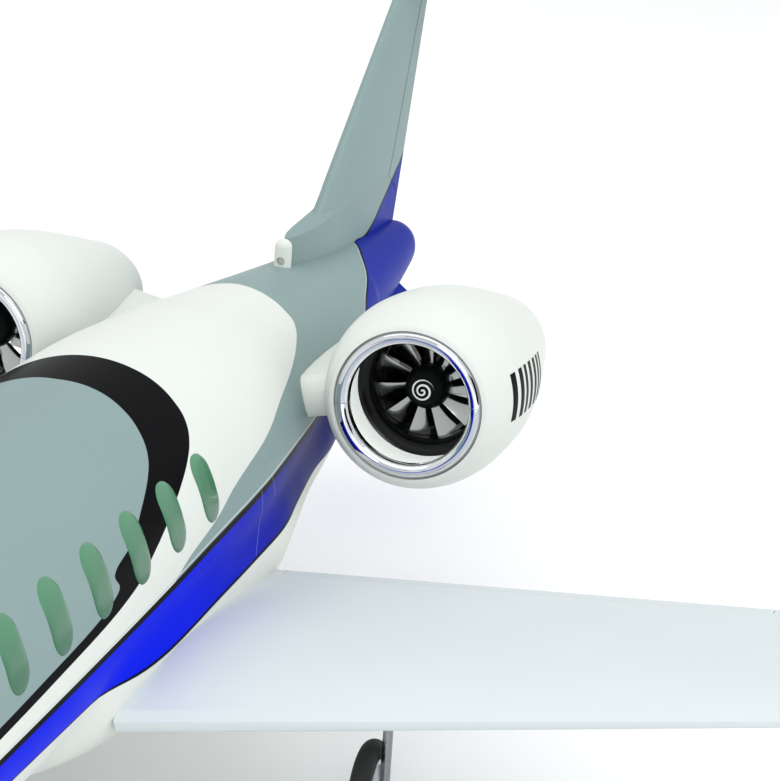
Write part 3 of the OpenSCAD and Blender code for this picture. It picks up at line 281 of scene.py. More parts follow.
class Tree:
    """Adds nodes to a shader tree; inputs are numbers, colours or outputs of other nodes."""

    def __init__(self, tree):
        self.tree = tree
        tree.nodes.clear()

    def add(self, kind, inputs=None, **settings):
        node = self.tree.nodes.new("ShaderNode" + kind)
        for key, value in settings.items():
            setattr(node, key, value)
        for key, value in (inputs or {}).items():
            socket = node.inputs[key]
            if isinstance(value, bpy.types.NodeSocket):
                self.tree.links.new(value, socket)
            else:
                socket.default_value = value
        return node

    def math(self, operation, a, b=0.0, c=0.0):
        return self.add("Math", {0: a, 1: b, 2: c}, operation=operation).outputs[0]

    def less(self, a, b):
        return self.math("SUBTRACT", a, b)

    def times(self, a, b):
        return self.math("MULTIPLY", a, b)

    def ramp(self, value, low, high):
        """0 up to the low value and 1 from the high one, with a straight climb between them."""
        inputs = {"Value": value, "From Min": low, "From Max": high}
        return self.add("MapRange", inputs, clamp=True).outputs[0]

    def step(self, value, soft=0.25):
        """0 below zero and 1 above it, with a soft edge."""
        return self.ramp(value, -soft, soft)

    def near(self, value, half, soft=0.25):
        """1 where the value is within half of zero."""
        return self.step(self.less(half, self.math("ABSOLUTE", value)), soft)

    def mix(self, factor, a, b, blend_type="MIX"):
        node = self.add("Mix", {0: factor, 6: a, 7: b}, data_type="RGBA", blend_type=blend_type)
        return node.outputs[2]

    def noise(self, where, scale, detail=3.0, rough=0.55):
        inputs = {"Vector": where, "Scale": scale, "Detail": detail, "Roughness": rough}
        return self.add("TexNoise", inputs).outputs[0]

    def spot(self):
        """The place of the point that is shaded, in metres."""
        return self.add("TexCoord").outputs["Object"]

    def measured(self, above=AXIS_Z):
        """X, station and height over a level of that point, in millimetres."""
        x, y, z = self.add("SeparateXYZ", {0: self.spot()}).outputs
        return (self.times(x, 1 / MM), self.math("MULTIPLY_ADD", y, 1 / MM, LENGTH / 2),
                self.math("MULTIPLY_ADD", z, 1 / MM, -above))

    def follow(self, value, points, x_range, y_range):
        """A drawn curve through the points, whose coordinates lie in the two ranges."""
        x0, x1 = x_range
        y0, y1 = y_range
        scaled = self.math("DIVIDE", self.less(value, x0), x1 - x0)
        node = self.add("FloatCurve", {"Value": scaled})
        line = node.mapping.curves[0]
        rows = sorted(((x - x0) / (x1 - x0), (y - y0) / (y1 - y0)) for x, y in points)
        while len(line.points) < len(rows):
            line.points.new(0.5, 0.5)
        for point, row in zip(line.points, rows):
            point.location = row
        node.mapping.update()
        return self.math("MULTIPLY_ADD", node.outputs[0], y1 - y0, y0)


def group(name, takes, gives):
    """A shader node group with named sockets; returns its tree and its two ends."""
    tree = bpy.data.node_groups.new(name, "ShaderNodeTree")
    shader = Tree(tree)
    for label, kind, value in takes:
        kind = "NodeSocket" + kind
        socket = tree.interface.new_socket(label, in_out="INPUT", socket_type=kind)
        socket.default_value = value
    for label, kind in gives:
        tree.interface.new_socket(label, in_out="OUTPUT", socket_type="NodeSocket" + kind)
    ends = tree.nodes.new("NodeGroupInput").outputs, tree.nodes.new("NodeGroupOutput").inputs
    return tree, shader, *ends


# %% [markdown]
# ## Handling marks
#
# A handled model is never one even colour. The first shared effect takes a colour and a roughness
# and gives them back slightly uneven: broad mottling, faint rubbed streaks, and a fine grain in
# the normal. Every material places it with its own strengths.

# %% Shared effect: handling
MOTTLE_SCALE = 14.0
STREAK_SCALE = 130.0
STREAK_DRAWN = (3.0, 0.6, 3.0)
STREAK_TURNED = (0.3, 0.2, 0.5)
STREAK_OVER = 0.64  # level of the noise from which a streak shows
GRAIN_DEEP = 0.2 * MM

HANDLING, sh, given, result = group(
    "handling",
    [("Colour", "Color", (0.5, 0.5, 0.5, 1)), ("Roughness", "Float", 0.3),
     ("Mottle", "Float", 0.06), ("Streaks", "Float", 0.1),
     ("Grain", "Float", 0.1), ("Grain scale", "Float", 900.0)],
    [("Colour", "Color"), ("Roughness", "Float"), ("Normal", "Vector")])
where = sh.spot()
broad = sh.noise(where, MOTTLE_SCALE, 4.0)
fine = sh.noise(where, given["Grain scale"], 2.0)
stretched = sh.add("Mapping", {"Vector": where, "Scale": STREAK_DRAWN, "Rotation": STREAK_TURNED})
rubbed = sh.noise(stretched.outputs[0], STREAK_SCALE, 5.0, 0.7)
streak = sh.step(sh.less(rubbed, STREAK_OVER), 0.05)
swing = sh.less(broad, 0.5)
shade = sh.math("MULTIPLY_ADD", swing, given["Mottle"], 1.0)
grey = sh.add("CombineColor", {0: shade, 1: shade, 2: shade}).outputs[0]
uneven = sh.mix(1.0, given["Colour"], grey, "MULTIPLY")
sh.tree.links.new(uneven, result["Colour"])
rougher = sh.math("MULTIPLY_ADD", streak, given["Streaks"], given["Roughness"])
patchy = sh.math("MULTIPLY_ADD", swing, given["Mottle"], rougher)
sh.tree.links.new(patchy, result["Roughness"])
bump = sh.add("Bump", {"Strength": given["Grain"], "Distance": GRAIN_DEEP, "Height": fine})
sh.tree.links.new(bump.outputs[0], result["Normal"])
print("handling group has", len(HANDLING.nodes), "nodes")


def material(name, colour, roughness, mottle=0.06, streaks=0.08, grain=0.08, scale=900.0,
             **shader_values):
    """A material from the handling effect and a Principled shader of its own.

    The colour is a fixed colour, or a function that builds one in the tree."""
    made = bpy.data.materials.new(name)
    made.use_nodes = True
    tree = Tree(made.node_tree)
    base = colour(tree) if callable(colour) else colour
    effect = tree.add("Group", node_tree=HANDLING)
    values = {"Colour": base, "Roughness": roughness, "Mottle": mottle, "Streaks": streaks,
              "Grain": grain, "Grain scale": scale}
    for key, value in values.items():
        if isinstance(value, bpy.types.NodeSocket):
            made.node_tree.links.new(value, effect.inputs[key])
        else:
            effect.inputs[key].default_value = value
    shader = tree.add("BsdfPrincipled", {
        "Base Color": effect.outputs["Colour"], "Roughness": effect.outputs["Roughness"],
        "Normal": effect.outputs["Normal"]})
    for key, value in shader_values.items():
        shader.inputs[key.replace("_", " ")].default_value = value
    out = tree.add("OutputMaterial")
    made.node_tree.links.new(shader.outputs[0], out.inputs[0])
    return made


# %% [markdown]
# ## The livery
#
# The film on the fuselage is one continuous drawing, so it is one effect that all the fuselage
# pieces share. It reads a point's station along the body and its angle above the horizon, seen
# from the cabin's axis. Each border of the drawing is a curve in these two, as if the film were
# rolled flat. Port and starboard mirror each other.

# %% Shared effect: livery
WHITE = linear(218, 222, 216)
GREY = linear(136, 156, 155)
BLACK = linear(11, 11, 13)
BLUE_FORE = linear(9, 30, 222)
# painted shade: the blue band's darker blue under the nacelles, where their shadow falls
BLUE_PAINTED_SHADE = linear(9, 22, 112)
BLUE_FIN = linear(24, 42, 150)
TRIM = linear(196, 205, 204)
LAPPED = linear(170, 180, 215)
# painted shade: between these stations the blue band darkens as if shaded by the nacelles
PAINTED_SHADE_STATIONS = (900.0, 1110.0)  # stations between which the fore blue turns into the deep one
TURNS_FIN_BLUE = (1300.0, 1440.0)
DEGREE = CABIN_R * math.radians(1)  # length of a degree along the skin
LINE_HALF = 2.1
TRIM_OVER, TRIM_HALF = 3.6, 0.5
BAND_LINE_HALF = 0.7
SEAM_HALF, SEAM_SOFT, SEAM_SHOWS = 0.3, 0.2, 0.5
STATIONS = (0.0, 1800.0)
ANGLES = (-90.0, 90.0)

# station and angle of the black line between grey above and blue below
LINE = [(0, -16), (330, -13), (600, -8.5), (857, -2.5), (940, 0.5), (1033, 3.1), (1121, 3.6),
        (1207, 2.8), (1290, 8.2), (1364, 18.4), (1413, 37.7), (1436, 46.7), (1466, 65), (1485, 75),
        (1500, 90)]
# lower border of the blue band
BAND = [(0, -24), (600, -22.5), (953, -21), (1066, -19.4), (1250, -24), (1400, -40), (1500, -60)]
# angle and station of the borders that sweep over the cabin's top
TONGUE = [(-20, 0), (-9, 600), (-2.3, 857), (3.9, 899), (8.6, 945), (14.3, 981), (21.9, 1061),
          (28, 1102), (34.8, 1152), (41.8, 1189), (49.9, 1215), (60.7, 1224), (72.9, 1230),
          (90, 1236)]
ARC_OUT = [(-14, 0), (-4, 460), (3, 700), (8.7, 807), (15.7, 848), (27.4, 904), (34, 931),
           (38.9, 946), (45.4, 958), (53.8, 965), (63.9, 970), (75, 972), (90, 973)]
ARC_IN = [(-12, 0), (-1, 400), (6, 680), (12.5, 788), (19.9, 794), (23.4, 820), (30.4, 848),
          (39, 879), (43.6, 891), (53.2, 905), (63.9, 914), (75, 919), (90, 919)]

# angle and station of the lapped edges where two sheets of film meet
SEAMS = [[(-19, 1017), (-10, 1031), (3.5, 1028)], [(-6, 1065), (17.7, 1038)]]

LIVERY, sh, given, result = group("livery", [], [("Colour", "Color")])
x, station, height = sh.measured()
angle = sh.math("DEGREES", sh.math("ARCTAN2", height, sh.math("ABSOLUTE", x)))


def over(border):
    """Distance along the skin above a border drawn as an angle for each station."""
    return sh.times(sh.less(angle, sh.follow(station, border, STATIONS, ANGLES)), DEGREE)


def ahead_of(border):
    """Distance ahead of a border drawn as a station for each angle."""
    return sh.less(sh.follow(angle, border, ANGLES, STATIONS), station)


over_line, over_band = over(LINE), over(BAND)
# painted shade: the band's blue darkens aft beneath the nacelles, then turns to the fin's blue
blue = sh.mix(sh.ramp(station, *PAINTED_SHADE_STATIONS), BLUE_FORE, BLUE_PAINTED_SHADE)
blue = sh.mix(sh.ramp(station, *TURNS_FIN_BLUE), blue, BLUE_FIN)
colour = sh.mix(sh.step(ahead_of(TONGUE)), GREY, WHITE)
colour = sh.mix(sh.step(ahead_of(ARC_OUT)), colour, BLACK)
colour = sh.mix(sh.step(ahead_of(ARC_IN)), colour, GREY)
colour = sh.mix(sh.near(sh.less(over_line, TRIM_OVER), TRIM_HALF), colour, TRIM)
colour = sh.mix(sh.step(over_line), blue, colour)
colour = sh.mix(sh.near(over_line, LINE_HALF), colour, BLACK)
colour = sh.mix(sh.step(over_band), WHITE, colour)
colour = sh.mix(sh.near(over_band, BAND_LINE_HALF), colour, BLACK)
for seam in SEAMS:
    above_low = sh.step(sh.less(angle, seam[0][0]))
    below_high = sh.step(sh.times(sh.less(angle, seam[-1][0]), -1.0))
    lapped = sh.times(sh.near(ahead_of(seam), SEAM_HALF, SEAM_SOFT),
                      sh.times(above_low, below_high))
    colour = sh.mix(sh.times(lapped, SEAM_SHOWS), colour, LAPPED)
sh.tree.links.new(colour, result["Colour"])
print("livery group has", len(LIVERY.nodes), "nodes")


def livery(tree):
    return tree.add("Group", node_tree=LIVERY).outputs["Colour"]


# station and height of the black line where it climbs over the fin to its trailing edge
FIN_LINE = [(1455, 0), (1470, 28), (1481, 45), (1490, 49), (1525, 48), (1549, 52.5), (1577, 63),
            (1599, 71), (1650, 92)]
FIN_STATIONS = (1300.0, 1800.0)
FIN_HEIGHTS = (-100.0, 300.0)
FIN_LINE_HALF = 1.5


def fin_livery(tree):
    """Grey fin with a blue foot behind the black line."""
    _, station, height = tree.measured()
    rise = tree.less(height, tree.follow(station, FIN_LINE, FIN_STATIONS, FIN_HEIGHTS))
    colour = tree.mix(tree.step(rise), BLUE_FIN, GREY)
    return tree.mix(tree.near(rise, FIN_LINE_HALF), colour, BLACK)


# %% [markdown]
# ## Materials
#
# One short call for each real material. Film is a plastic sheet: smooth, a little wavy, without
# much gloss. Chrome on plastic is bright with a soft haze. The fan's black nylon is polished, the
# white duct carries a painted glow, an emission that brightens its deep inside as if lit, and
# plywood shows its grain.

# %% Materials
FILM = dict(mottle=0.05, streaks=0.05, grain=0.05, scale=420.0, IOR=1.3, Specular_IOR_Level=0.02)
fuselage_film = material("fuselage_film", livery, 0.3, **FILM)
white_film = material("white_film", WHITE, 0.3, **FILM)
fin_film = material("fin_film", fin_livery, 0.3, **FILM)
blue_film = material("blue_film", BLUE_FIN, 0.28, **FILM)
wing_film = material("wing_film", linear(206, 213, 214), 0.3, **FILM)
chrome = material("chrome_plating", linear(225, 226, 230), 0.05, 0.04, 0.05, 0.02, 600.0,
                  Metallic=1.0)
fan_nylon = material("fan_nylon", linear(9, 10, 12), 0.12, 0.1, 0.1, 0.06, 1400.0, IOR=2.6,
                     Specular_IOR_Level=0.9, Coat_Weight=1.0, Coat_IOR=2.4, Coat_Roughness=0.06)
# painted glow: the duct's emission brightens its inside as if lit, and the fan blades mirror it
duct_plastic_painted_glow = material("duct_plastic_painted_glow", linear(240, 243, 238), 0.4, 0.04, 0.06, 0.1, 600.0,
                        Emission_Color=(0.9, 0.95, 0.92, 1.0), Emission_Strength=0.4)
shroud_nylon = material("shroud_nylon", linear(7, 8, 10), 0.2, 0.1, 0.1, 0.06, 1400.0,
                        Specular_IOR_Level=0.2)
black_plastic = material("black_plastic", linear(24, 25, 27), 0.38, 0.12, 0.12, 0.25, 1600.0)
steel = material("steel_wire", linear(150, 152, 156), 0.28, 0.1, 0.2, 0.1, 2200.0,
                 Metallic=1.0)
aluminium = material("machined_aluminium", linear(188, 190, 194), 0.32, 0.08, 0.2, 0.15, 1800.0,
                     Metallic=1.0)
carbon = material("carbon_tube", linear(28, 28, 30), 0.3, 0.2, 0.1, 0.3, 2600.0,
                  Coat_Weight=0.7)
rubber = material("tyre_rubber", linear(30, 30, 31), 0.75, 0.15, 0.15, 0.5, 1500.0)
wrap = material("battery_wrap", linear(38, 60, 150), 0.35, 0.12, 0.15, 0.2, 300.0,
                Coat_Weight=0.3)
# heights over which the panes' painted reflection goes from deep green to pale green
PANE_REFLECTION_HEIGHTS = ((AXIS_Z + 8) * MM, (AXIS_Z + 54) * MM)
WOOD_DRAWN = (9.0, 0.8, 9.0)


def window_tint_and_painted_reflection(tree):
    """Green tint with a painted reflection: paler above, deeper below, as sky and floor mirror in
    it.
    """
    z = tree.add("SeparateXYZ", {0: tree.spot()}).outputs[2]
    return tree.mix(tree.ramp(z, *PANE_REFLECTION_HEIGHTS), linear(30, 84, 58), linear(80, 138, 103))


def wood_colour(tree):
    """Long grain of light plywood, drawn out along the fuselage."""
    drawn = tree.add("Mapping", {"Vector": tree.spot(), "Scale": WOOD_DRAWN})
    grain = tree.noise(drawn.outputs[0], 42.0, 6.0, 0.6)
    return tree.mix(grain, linear(188, 150, 98), linear(226, 200, 150))


window_film = material("window_pane", window_tint_and_painted_reflection, 0.2, 0.05, 0.04, 0.04, 500.0,
                       Specular_IOR_Level=0.2, Coat_Weight=0.25, Coat_Roughness=0.04)
plywood = material("plywood", wood_colour, 0.62, 0.12, 0.1, 0.5, 700.0)
print("materials:", len(bpy.data.materials))

# %% [markdown]
# ## Fuselage skin
#
# The cabin tube, the tail body and the belly fairing are separate mouldings, but under the film
# they read as one skin. For any station and any angle, the skin's distance from the axis is the
# larger of two: the round body's and the fairing's ellipse. A smooth maximum rounds the seam
# between them, as filler does on the model. The grid's lines are laid on the hatch's edges, so
# the opening is made by leaving cells out. The wells of the main wheels are cut out of the
# finished skin.

# %% Fuselage skin
# share of the tail's length and share of the cabin's radius
TAIL_LINE = curve([(0, 1), (0.08, 0.977), (0.2, 0.892), (0.32, 0.785), (0.44, 0.672),
                   (0.565, 0.559), (0.69, 0.454), (0.81, 0.358), (0.915, 0.272), (0.965, 0.22),
                   (0.99, 0.13), (1, 0.0)])
# station of the belly fairing, depth of its ellipse's middle, half width and half height
BELLY = curve([(735, 30, 60, 54), (791, 38, 83, 60), (850, 42, 92, 62), (959, 42, 92, 62),
               (1064, 42, 92, 62), (1130, 36, 83, 62), (1191, 28, 74.5, 59), (1249, 18, 71, 55),
               (1311, 8, 64.4, 50), (1369, -2, 55, 43), (1450, -13, 40.5, 33)])
FILLET = 7.0
CABIN_FROM, CABIN_PITCH, CABIN_RINGS = NOSE_LEN + 9, 10.5, 64
TAIL_FROM, TAIL_PITCH, TAIL_RINGS = TAIL_S + 12, 7, 90
END_LEN = 6  # the even rings stop this far from the tail's end
END_RINGS = (5, 3, 1.5, 0.6, 0.1)  # and closer ones follow, at these distances from it
TIP_LEN, TIP_SKIN = 60, 1.0  # towards its end the tail's skin is thinner
COLUMN_STEP = 2.5
CLEAR_S, CLEAR_ANGLE = 4, 1  # the grid has no other line nearer than this to the hatch's edges
NOSE_SLOPE = NOSE_DROOP / NOSE_LEN
NOSE_PLAY = 0.2
LEAST_R = 0.3


def round_radius(s):
    """Radius of the round body at a station."""
    if s <= TAIL_S:
        return CABIN_R
    return look_up(TAIL_LINE, min(1.0, (s - TAIL_S) / TAIL_LEN))[1] * CABIN_R


def fairing_radius(s, a):
    """Distance from the axis to the fairing's ellipse in a direction, or 0 away from it."""
    if not BELLY[0][0] <= s <= BELLY[-1][0]:
        return 0.0
    row = look_up(BELLY, s)
    rise = tail_axis(s) + row[1]
    c, n = math.cos(a) / row[2], math.sin(a) / row[3]
    p, q, r = c * c + n * n, n * rise / row[3], (rise / row[3]) ** 2 - 1
    return (-q + math.sqrt(max(q * q - p * r, 0.0))) / p if q * q >= p * r else 0.0


def skin_radius(s, a):
    body, fairing = round_radius(s), fairing_radius(s, a)
    near = max(FILLET - abs(body - fairing), 0.0) / FILLET
    return max(body, fairing) + near * near * FILLET / 4


def stations():
    """Stations of the skin's rings: close together where the shape bends."""
    cabin = [CABIN_FROM + CABIN_PITCH * k for k in range(1, CABIN_RINGS + 1)]
    cabin = [s for s in cabin if min(abs(s - HATCH_S), abs(s - HATCH_END)) > CLEAR_S]
    tail = [TAIL_FROM + TAIL_PITCH * k for k in range(TAIL_RINGS)]
    rows = sorted(s for s in [HATCH_S, HATCH_END] + cabin + tail if s < TAIL_END - END_LEN)
    return rows + [TAIL_END - fore for fore in END_RINGS]


hatch_angle = math.degrees(math.acos(HATCH_HALF / CABIN_R))
hatch_edges = (hatch_angle, 180 - hatch_angle)
degrees = {-180 + COLUMN_STEP * k for k in range(round(360 / COLUMN_STEP))}
degrees = {d for d in degrees if min(abs(d - edge) for edge in hatch_edges) > CLEAR_ANGLE}
degrees = sorted(degrees | set(hatch_edges))


def skin_point(s, degree, inset=0.0):
    """Point of the skin; the first ring lies in the nose joint's slanting plane."""
    a = math.radians(degree)
    r = max(skin_radius(s, a) - inset, LEAST_R)
    z = r * math.sin(a)
    if s == NOSE_LEN:
        return place(r * math.cos(a), NOSE_LEN - z * NOSE_SLOPE + NOSE_PLAY, z)
    return place(r * math.cos(a), s, z + tail_axis(s))


def in_hatch(s0, s1, d0, d1):
    """Whether a cell between two rings and two columns belongs to the hatch's opening.

    Known fault: the cell that closes each ring, from its last column to its first, is taken for a
    part of the opening too. It leaves a slit 4 mm high halfway up the starboard side."""
    return HATCH_S <= s0 and s1 <= HATCH_END and hatch_edges[0] <= d0 and d1 <= hatch_edges[1]


def shell_of_cells(rings, columns, keep):
    """A thick shell from two grids of points; walls close every border of the kept cells."""
    count = len(columns)
    half = len(rings) * count
    verts = [skin_point(s, d) for s in rings for d in columns]
    verts += [skin_point(s, d, SKIN if s < TAIL_END - TIP_LEN else TIP_SKIN)
              for s in rings for d in columns]
    kept = {(i, j) for i in range(len(rings) - 1) for j in range(count)
            if keep(rings[i], rings[i + 1], columns[j], columns[(j + 1) % count])}
    faces = []
    for i, j in kept:
        k = (j + 1) % count
        a, b, c, d = i * count + j, i * count + k, (i + 1) * count + k, (i + 1) * count + j
        faces += [(a, b, c, d), (a + half, d + half, c + half, b + half)]
        for p, q, neighbour in ((a, b, (i - 1, j)), (b, c, (i, k)), (c, d, (i + 1, j)),
                                (d, a, (i, (j - 1) % count))):
            if neighbour not in kept:
                faces.append((q, p, p + half, q + half))
    return verts, faces


def carved(shape, cutters):
    """Cuts closed meshes out of a piece, and shades the new edges sharp."""
    scene = bpy.context.scene.collection
    tools = []
    for verts, faces in cutters:
        mesh = bpy.data.meshes.new("cutter")
        mesh.from_pydata(verts, [], faces)
        tools.append(bpy.data.objects.new("cutter", mesh))
        scene.objects.link(tools[-1])
        cut = shape.modifiers.new("cut", "BOOLEAN")
        cut.object, cut.operation, cut.solver = tools[-1], "DIFFERENCE", "EXACT"
    graph = bpy.context.evaluated_depsgraph_get()
    mesh = bpy.data.meshes.new_from_object(shape.evaluated_get(graph))
    shape.modifiers.clear()
    shape.data = mesh
    mesh.set_sharp_from_angle(angle=CREASE)
    for tool in tools:
        bpy.data.objects.remove(tool)


DIHEDRAL = math.radians(4.4)
WING_DROP = 63.0
WELL_X, WELL_AFT, WELL_R = 105.75, -99.0, 31.0
WELL_FROM, WELL_TOP = -150.0, 8.2
WELL_STEPS = 96


def wing_point(side, u, v, w):
    """Point at u along the span, v behind the trailing edge and w above the wing's plane."""
    c, n = math.cos(DIHEDRAL), math.sin(DIHEDRAL)
    return place(side * (u * c - w * n), WING_TE + v, u * n + w * c - WING_DROP)


def well(side):
    """Round well of a main wheel, from below the belly up to its roof."""
    turns = [side * TAU * k / WELL_STEPS for k in range(WELL_STEPS)]
    rim = [(WELL_X + WELL_R * math.cos(a), WELL_AFT + WELL_R * math.sin(a)) for a in turns]
    return lofted([[wing_point(side, u, v, w) for u, v in rim] for w in (WELL_FROM, WELL_TOP)])


shell = shell_of_cells([NOSE_LEN] + stations(), degrees, lambda *cell: not in_hatch(*cell))
skin = piece("fuselage_skin", *shell, "airframe", fuselage_film,
             ["cabin_shell", "tail_shell", "belly_fairing"])
carved(skin, [well(1), well(-1)])
print("fuselage skin:", len(skin.data.polygons), "faces")

# %% [markdown]
# ## Cabin windows
#
# The windows are soft-edged panes of tinted film laid on the skin, a rounded oblong each. A pane
# is a set of shrinking copies of its outline, wrapped on the cabin's tube and lifted a little
# towards the middle, so that it catches the light like a drop.

# %% Window panes
WINDOW_W = 25.0
WINDOW_H = 41.0
WINDOW_PITCH = 56.0
WINDOW_LAST = 940.0
WINDOW_COUNT = 8
WINDOW_ANGLE = math.radians(21.5)
WINDOW_CORNER = WINDOW_W * 0.46
# share of the pane's outline and its lift over the cabin
PANE_CROWN = [(1.0, -0.5), (0.985, 0.1), (0.95, 0.32), (0.86, 0.52), (0.7, 0.66), (0.45, 0.76),
              (0.2, 0.8), (0.02, 0.8)]


def oblong(w, h, r, steps=10):
    """Outline of a rounded oblong, with points along its upright sides too."""
    out = []
    for quarter, (sx, sz) in enumerate(((1, 1), (-1, 1), (-1, -1), (1, -1))):
        for k in range(steps + 1):
            a = (quarter + k / steps) * math.pi / 2
            out.append((sx * (w / 2 - r) + r * math.cos(a), sz * (h / 2 - r) + r * math.sin(a)))
        if quarter % 2:
            x, z = out[-1]
            out += [(x, z - 2 * z * k / steps) for k in range(1, steps)]
    return out


def pane(side, s):
    """Rings of one pane, from its border to its middle."""
    rim = oblong(WINDOW_W, WINDOW_H, WINDOW_CORNER)
    rings = []
    for share, lift in PANE_CROWN:
        ring = []
        for u, v in rim:
            a = WINDOW_ANGLE + v * share / CABIN_R
            r = CABIN_R + lift
            ring.append(place(side * r * math.cos(a), s + u * share, r * math.sin(a)))
        rings.append(ring)
    return rings


rows = [lofted(pane(side, WINDOW_LAST - i * WINDOW_PITCH))
        for side, _ in SIDES for i in range(WINDOW_COUNT)]
panes = piece("cabin_window_panes", *joined(rows), "airframe", window_film, ["cabin_windows"],
              math.radians(60))
print("windows:", 2 * WINDOW_COUNT)

# %% [markdown]
# ## Nacelles
#
# Everything in a nacelle is turned about one axis: the cowl, the chrome lip in two halves, the
# white duct behind it and the spinner. Each is a closed outline of radius and distance, drawn as
# a smooth curve and swept round. The lip's halves keep the thin seam that the photograph shows.
# Only the cowl leaves that axis: its middle line falls a little towards the tail.

# %% Nacelle shells
LIP_R = 47.5
LIP_IN = 38.5
LIP_T = 1.2
LIP_DEEP = 5.0
LIP_SKIRT = 8.0
LIP_SEAM = math.radians(5.7)
SEAM_GAP = 0.15
COWL_R = 62.2
COWL_TAIL = 37.0
COWL_LEN = 235.0
COWL_T = 2.2
COWL_DROOP = 0.09
COWL_BEND = (15, 65)  # the middle line bends between these distances
COWL_SEAT, SEAT_PLAY = 12, 0.15
DUCT_T = 1.3
LIP_STEPS = 24

# share of the growth from the lip, or from the tail, to the full radius, and distance
cowl_front = [(0.04, 0.8), (0.2, 2), (0.33, 4.4), (0.5, 8), (0.66, 15), (0.88, 29), (0.99, 46),
              (1, 60)]
cowl_back = [(0.95, 92), (0.85, 116), (0.7, 140), (0.49, 170), (0.24, 203), (0, COWL_LEN)]
cowl_line = curve([(LIP_R + (COWL_R - LIP_R) * p, d) for p, d in cowl_front]
                  + [(COWL_TAIL + (COWL_R - COWL_TAIL) * p, d) for p, d in cowl_back])
duct_line = curve([(38.7, 8.1), (40.2, 17), (42, 27), (43.6, 37), (44.2, 44)])


def cowl_middle(d):
    """Height of the cowl's middle line, which falls towards its tail."""
    start, end = COWL_BEND
    if d < start:
        return 0.0
    run = (d - start) ** 2 / (2 * (end - start)) if d < end else d - (start + end) / 2
    return -COWL_DROOP * run


def cowl_outline():
    """Outside of the cowl, its inside, and the seat for the lip in its front."""
    inner = [(r - COWL_T, d) for r, d in cowl_line if d > COWL_SEAT]
    seat_r = LIP_R + SEAT_PLAY
    seat = [(seat_r, COWL_SEAT), (seat_r, cowl_line[0][1])]
    return [tuple(p) for p in cowl_line] + inner[::-1] + seat


def lip_arc(inset, turn):
    """Rounded front of the lip, from its outside to its inside."""
    middle, half = (LIP_R + LIP_IN) / 2, (LIP_R - LIP_IN) / 2
    rows = []
    for k in range(LIP_STEPS + 1):
        a = math.pi * k / LIP_STEPS
        rows.append((middle + (half - inset) * math.cos(a),
                     LIP_DEEP - (LIP_DEEP - inset) * math.sin(a)))
    return rows[::-1] if turn else rows


def lip_outline():
    return [*lip_arc(0, False), (LIP_IN, LIP_SKIRT), (LIP_IN + LIP_T, LIP_SKIRT),
            *lip_arc(LIP_T, True), (LIP_R - LIP_T, LIP_SKIRT), (LIP_R, LIP_SKIRT)]


def duct_outline():
    return [tuple(p) for p in duct_line] + [(r + DUCT_T, d) for r, d in duct_line[::-1]]


for side, label in SIDES:
    shape = turned(side, cowl_outline(), middle=cowl_middle)
    cowl = piece(f"cowl_{label}", *shape, "airframe", white_film, [f"nacelle_{label}"])
    shape = turned(side, duct_outline())
    duct = piece(f"duct_{label}", *shape, "airframe", duct_plastic_painted_glow, [f"inlet_duct_{label}"])
    gap = SEAM_GAP / LIP_R
    for half in (0, 1):
        start = side * LIP_SEAM + half * math.pi + gap
        shape = turned(side, lip_outline(), 72, start, math.pi - 2 * gap)
        lip = piece(f"lip_{label}_{half}", *shape, "airframe", chrome, [f"inlet_lip_{label}"])
print("cowl outline has", len(cowl_outline()), "points")

# %% [markdown]
# ## Fans
#
# A blade is a bowed lens in section that grows wider and leans more from hub to tip. The
# engineering blade has a few flat strips; this one has the same measures with more sections and
# more points. The spinner carries a small painted spiral, which shows at a glance whether the fan
# turns.

# %% Fans
BLADES = 11
HUB_R = 14.5
ROTOR_R = 34.5
ROTOR_FRONT, ROTOR_BACK = 52.0, 73.0
SHAFT_END = 100.0
SPINNER_LEN = 15.0
BLADE_CHORD = (21.0, 28.0)
BLADE_LEAN = (34.0, 58.0)
BLADE_LENS = (2.6, 1.2)
BLADE_BOW = 1.2
BLADE_TURN = math.radians(15)
BLADE_SECTIONS, SECTION_POINTS = 9, 28
ROTOR_STEPS = 96
HUB_EDGE = 0.6
SHAFT_R = 2
SPINNER_BASE = ROTOR_FRONT - 0.15
SPINNER_STEPS = 32
SPIRAL_PITCH = 3.2
SPIRAL_R = 7.2
STROKE_HALF, STROKE_SOFT = 0.6, 0.12


def between(pair, t):
    return pair[0] + (pair[1] - pair[0]) * t


def blade_ring(t, turn, side):
    """Section of a blade at a share t of its height; the first one is sunk into the hub."""
    r = HUB_R - 1 if t == 0 else HUB_R + (ROTOR_R - HUB_R) * t
    lean = math.radians(between(BLADE_LEAN, t))
    ring = []
    for k in range(SECTION_POINTS):
        a = TAU * k / SECTION_POINTS
        u, face = (1 - math.cos(a)) / 2, math.copysign(1, math.sin(a))
        bow = 4 * u * (1 - u)
        across = -face * 0.5 * between(BLADE_LENS, t) * bow - BLADE_BOW * bow
        along = (u - 0.5) * between(BLADE_CHORD, t)
        x = across * math.cos(lean) - along * math.sin(lean)
        d = along * math.cos(lean) + across * math.sin(lean)
        z = math.sqrt(max(r * r - x * x, 1.0))
        ring.append(at_nacelle(side, x * math.cos(turn) + z * math.sin(turn),
                               (ROTOR_FRONT + ROTOR_BACK) / 2 + d,
                               z * math.cos(turn) - x * math.sin(turn)))
    return ring


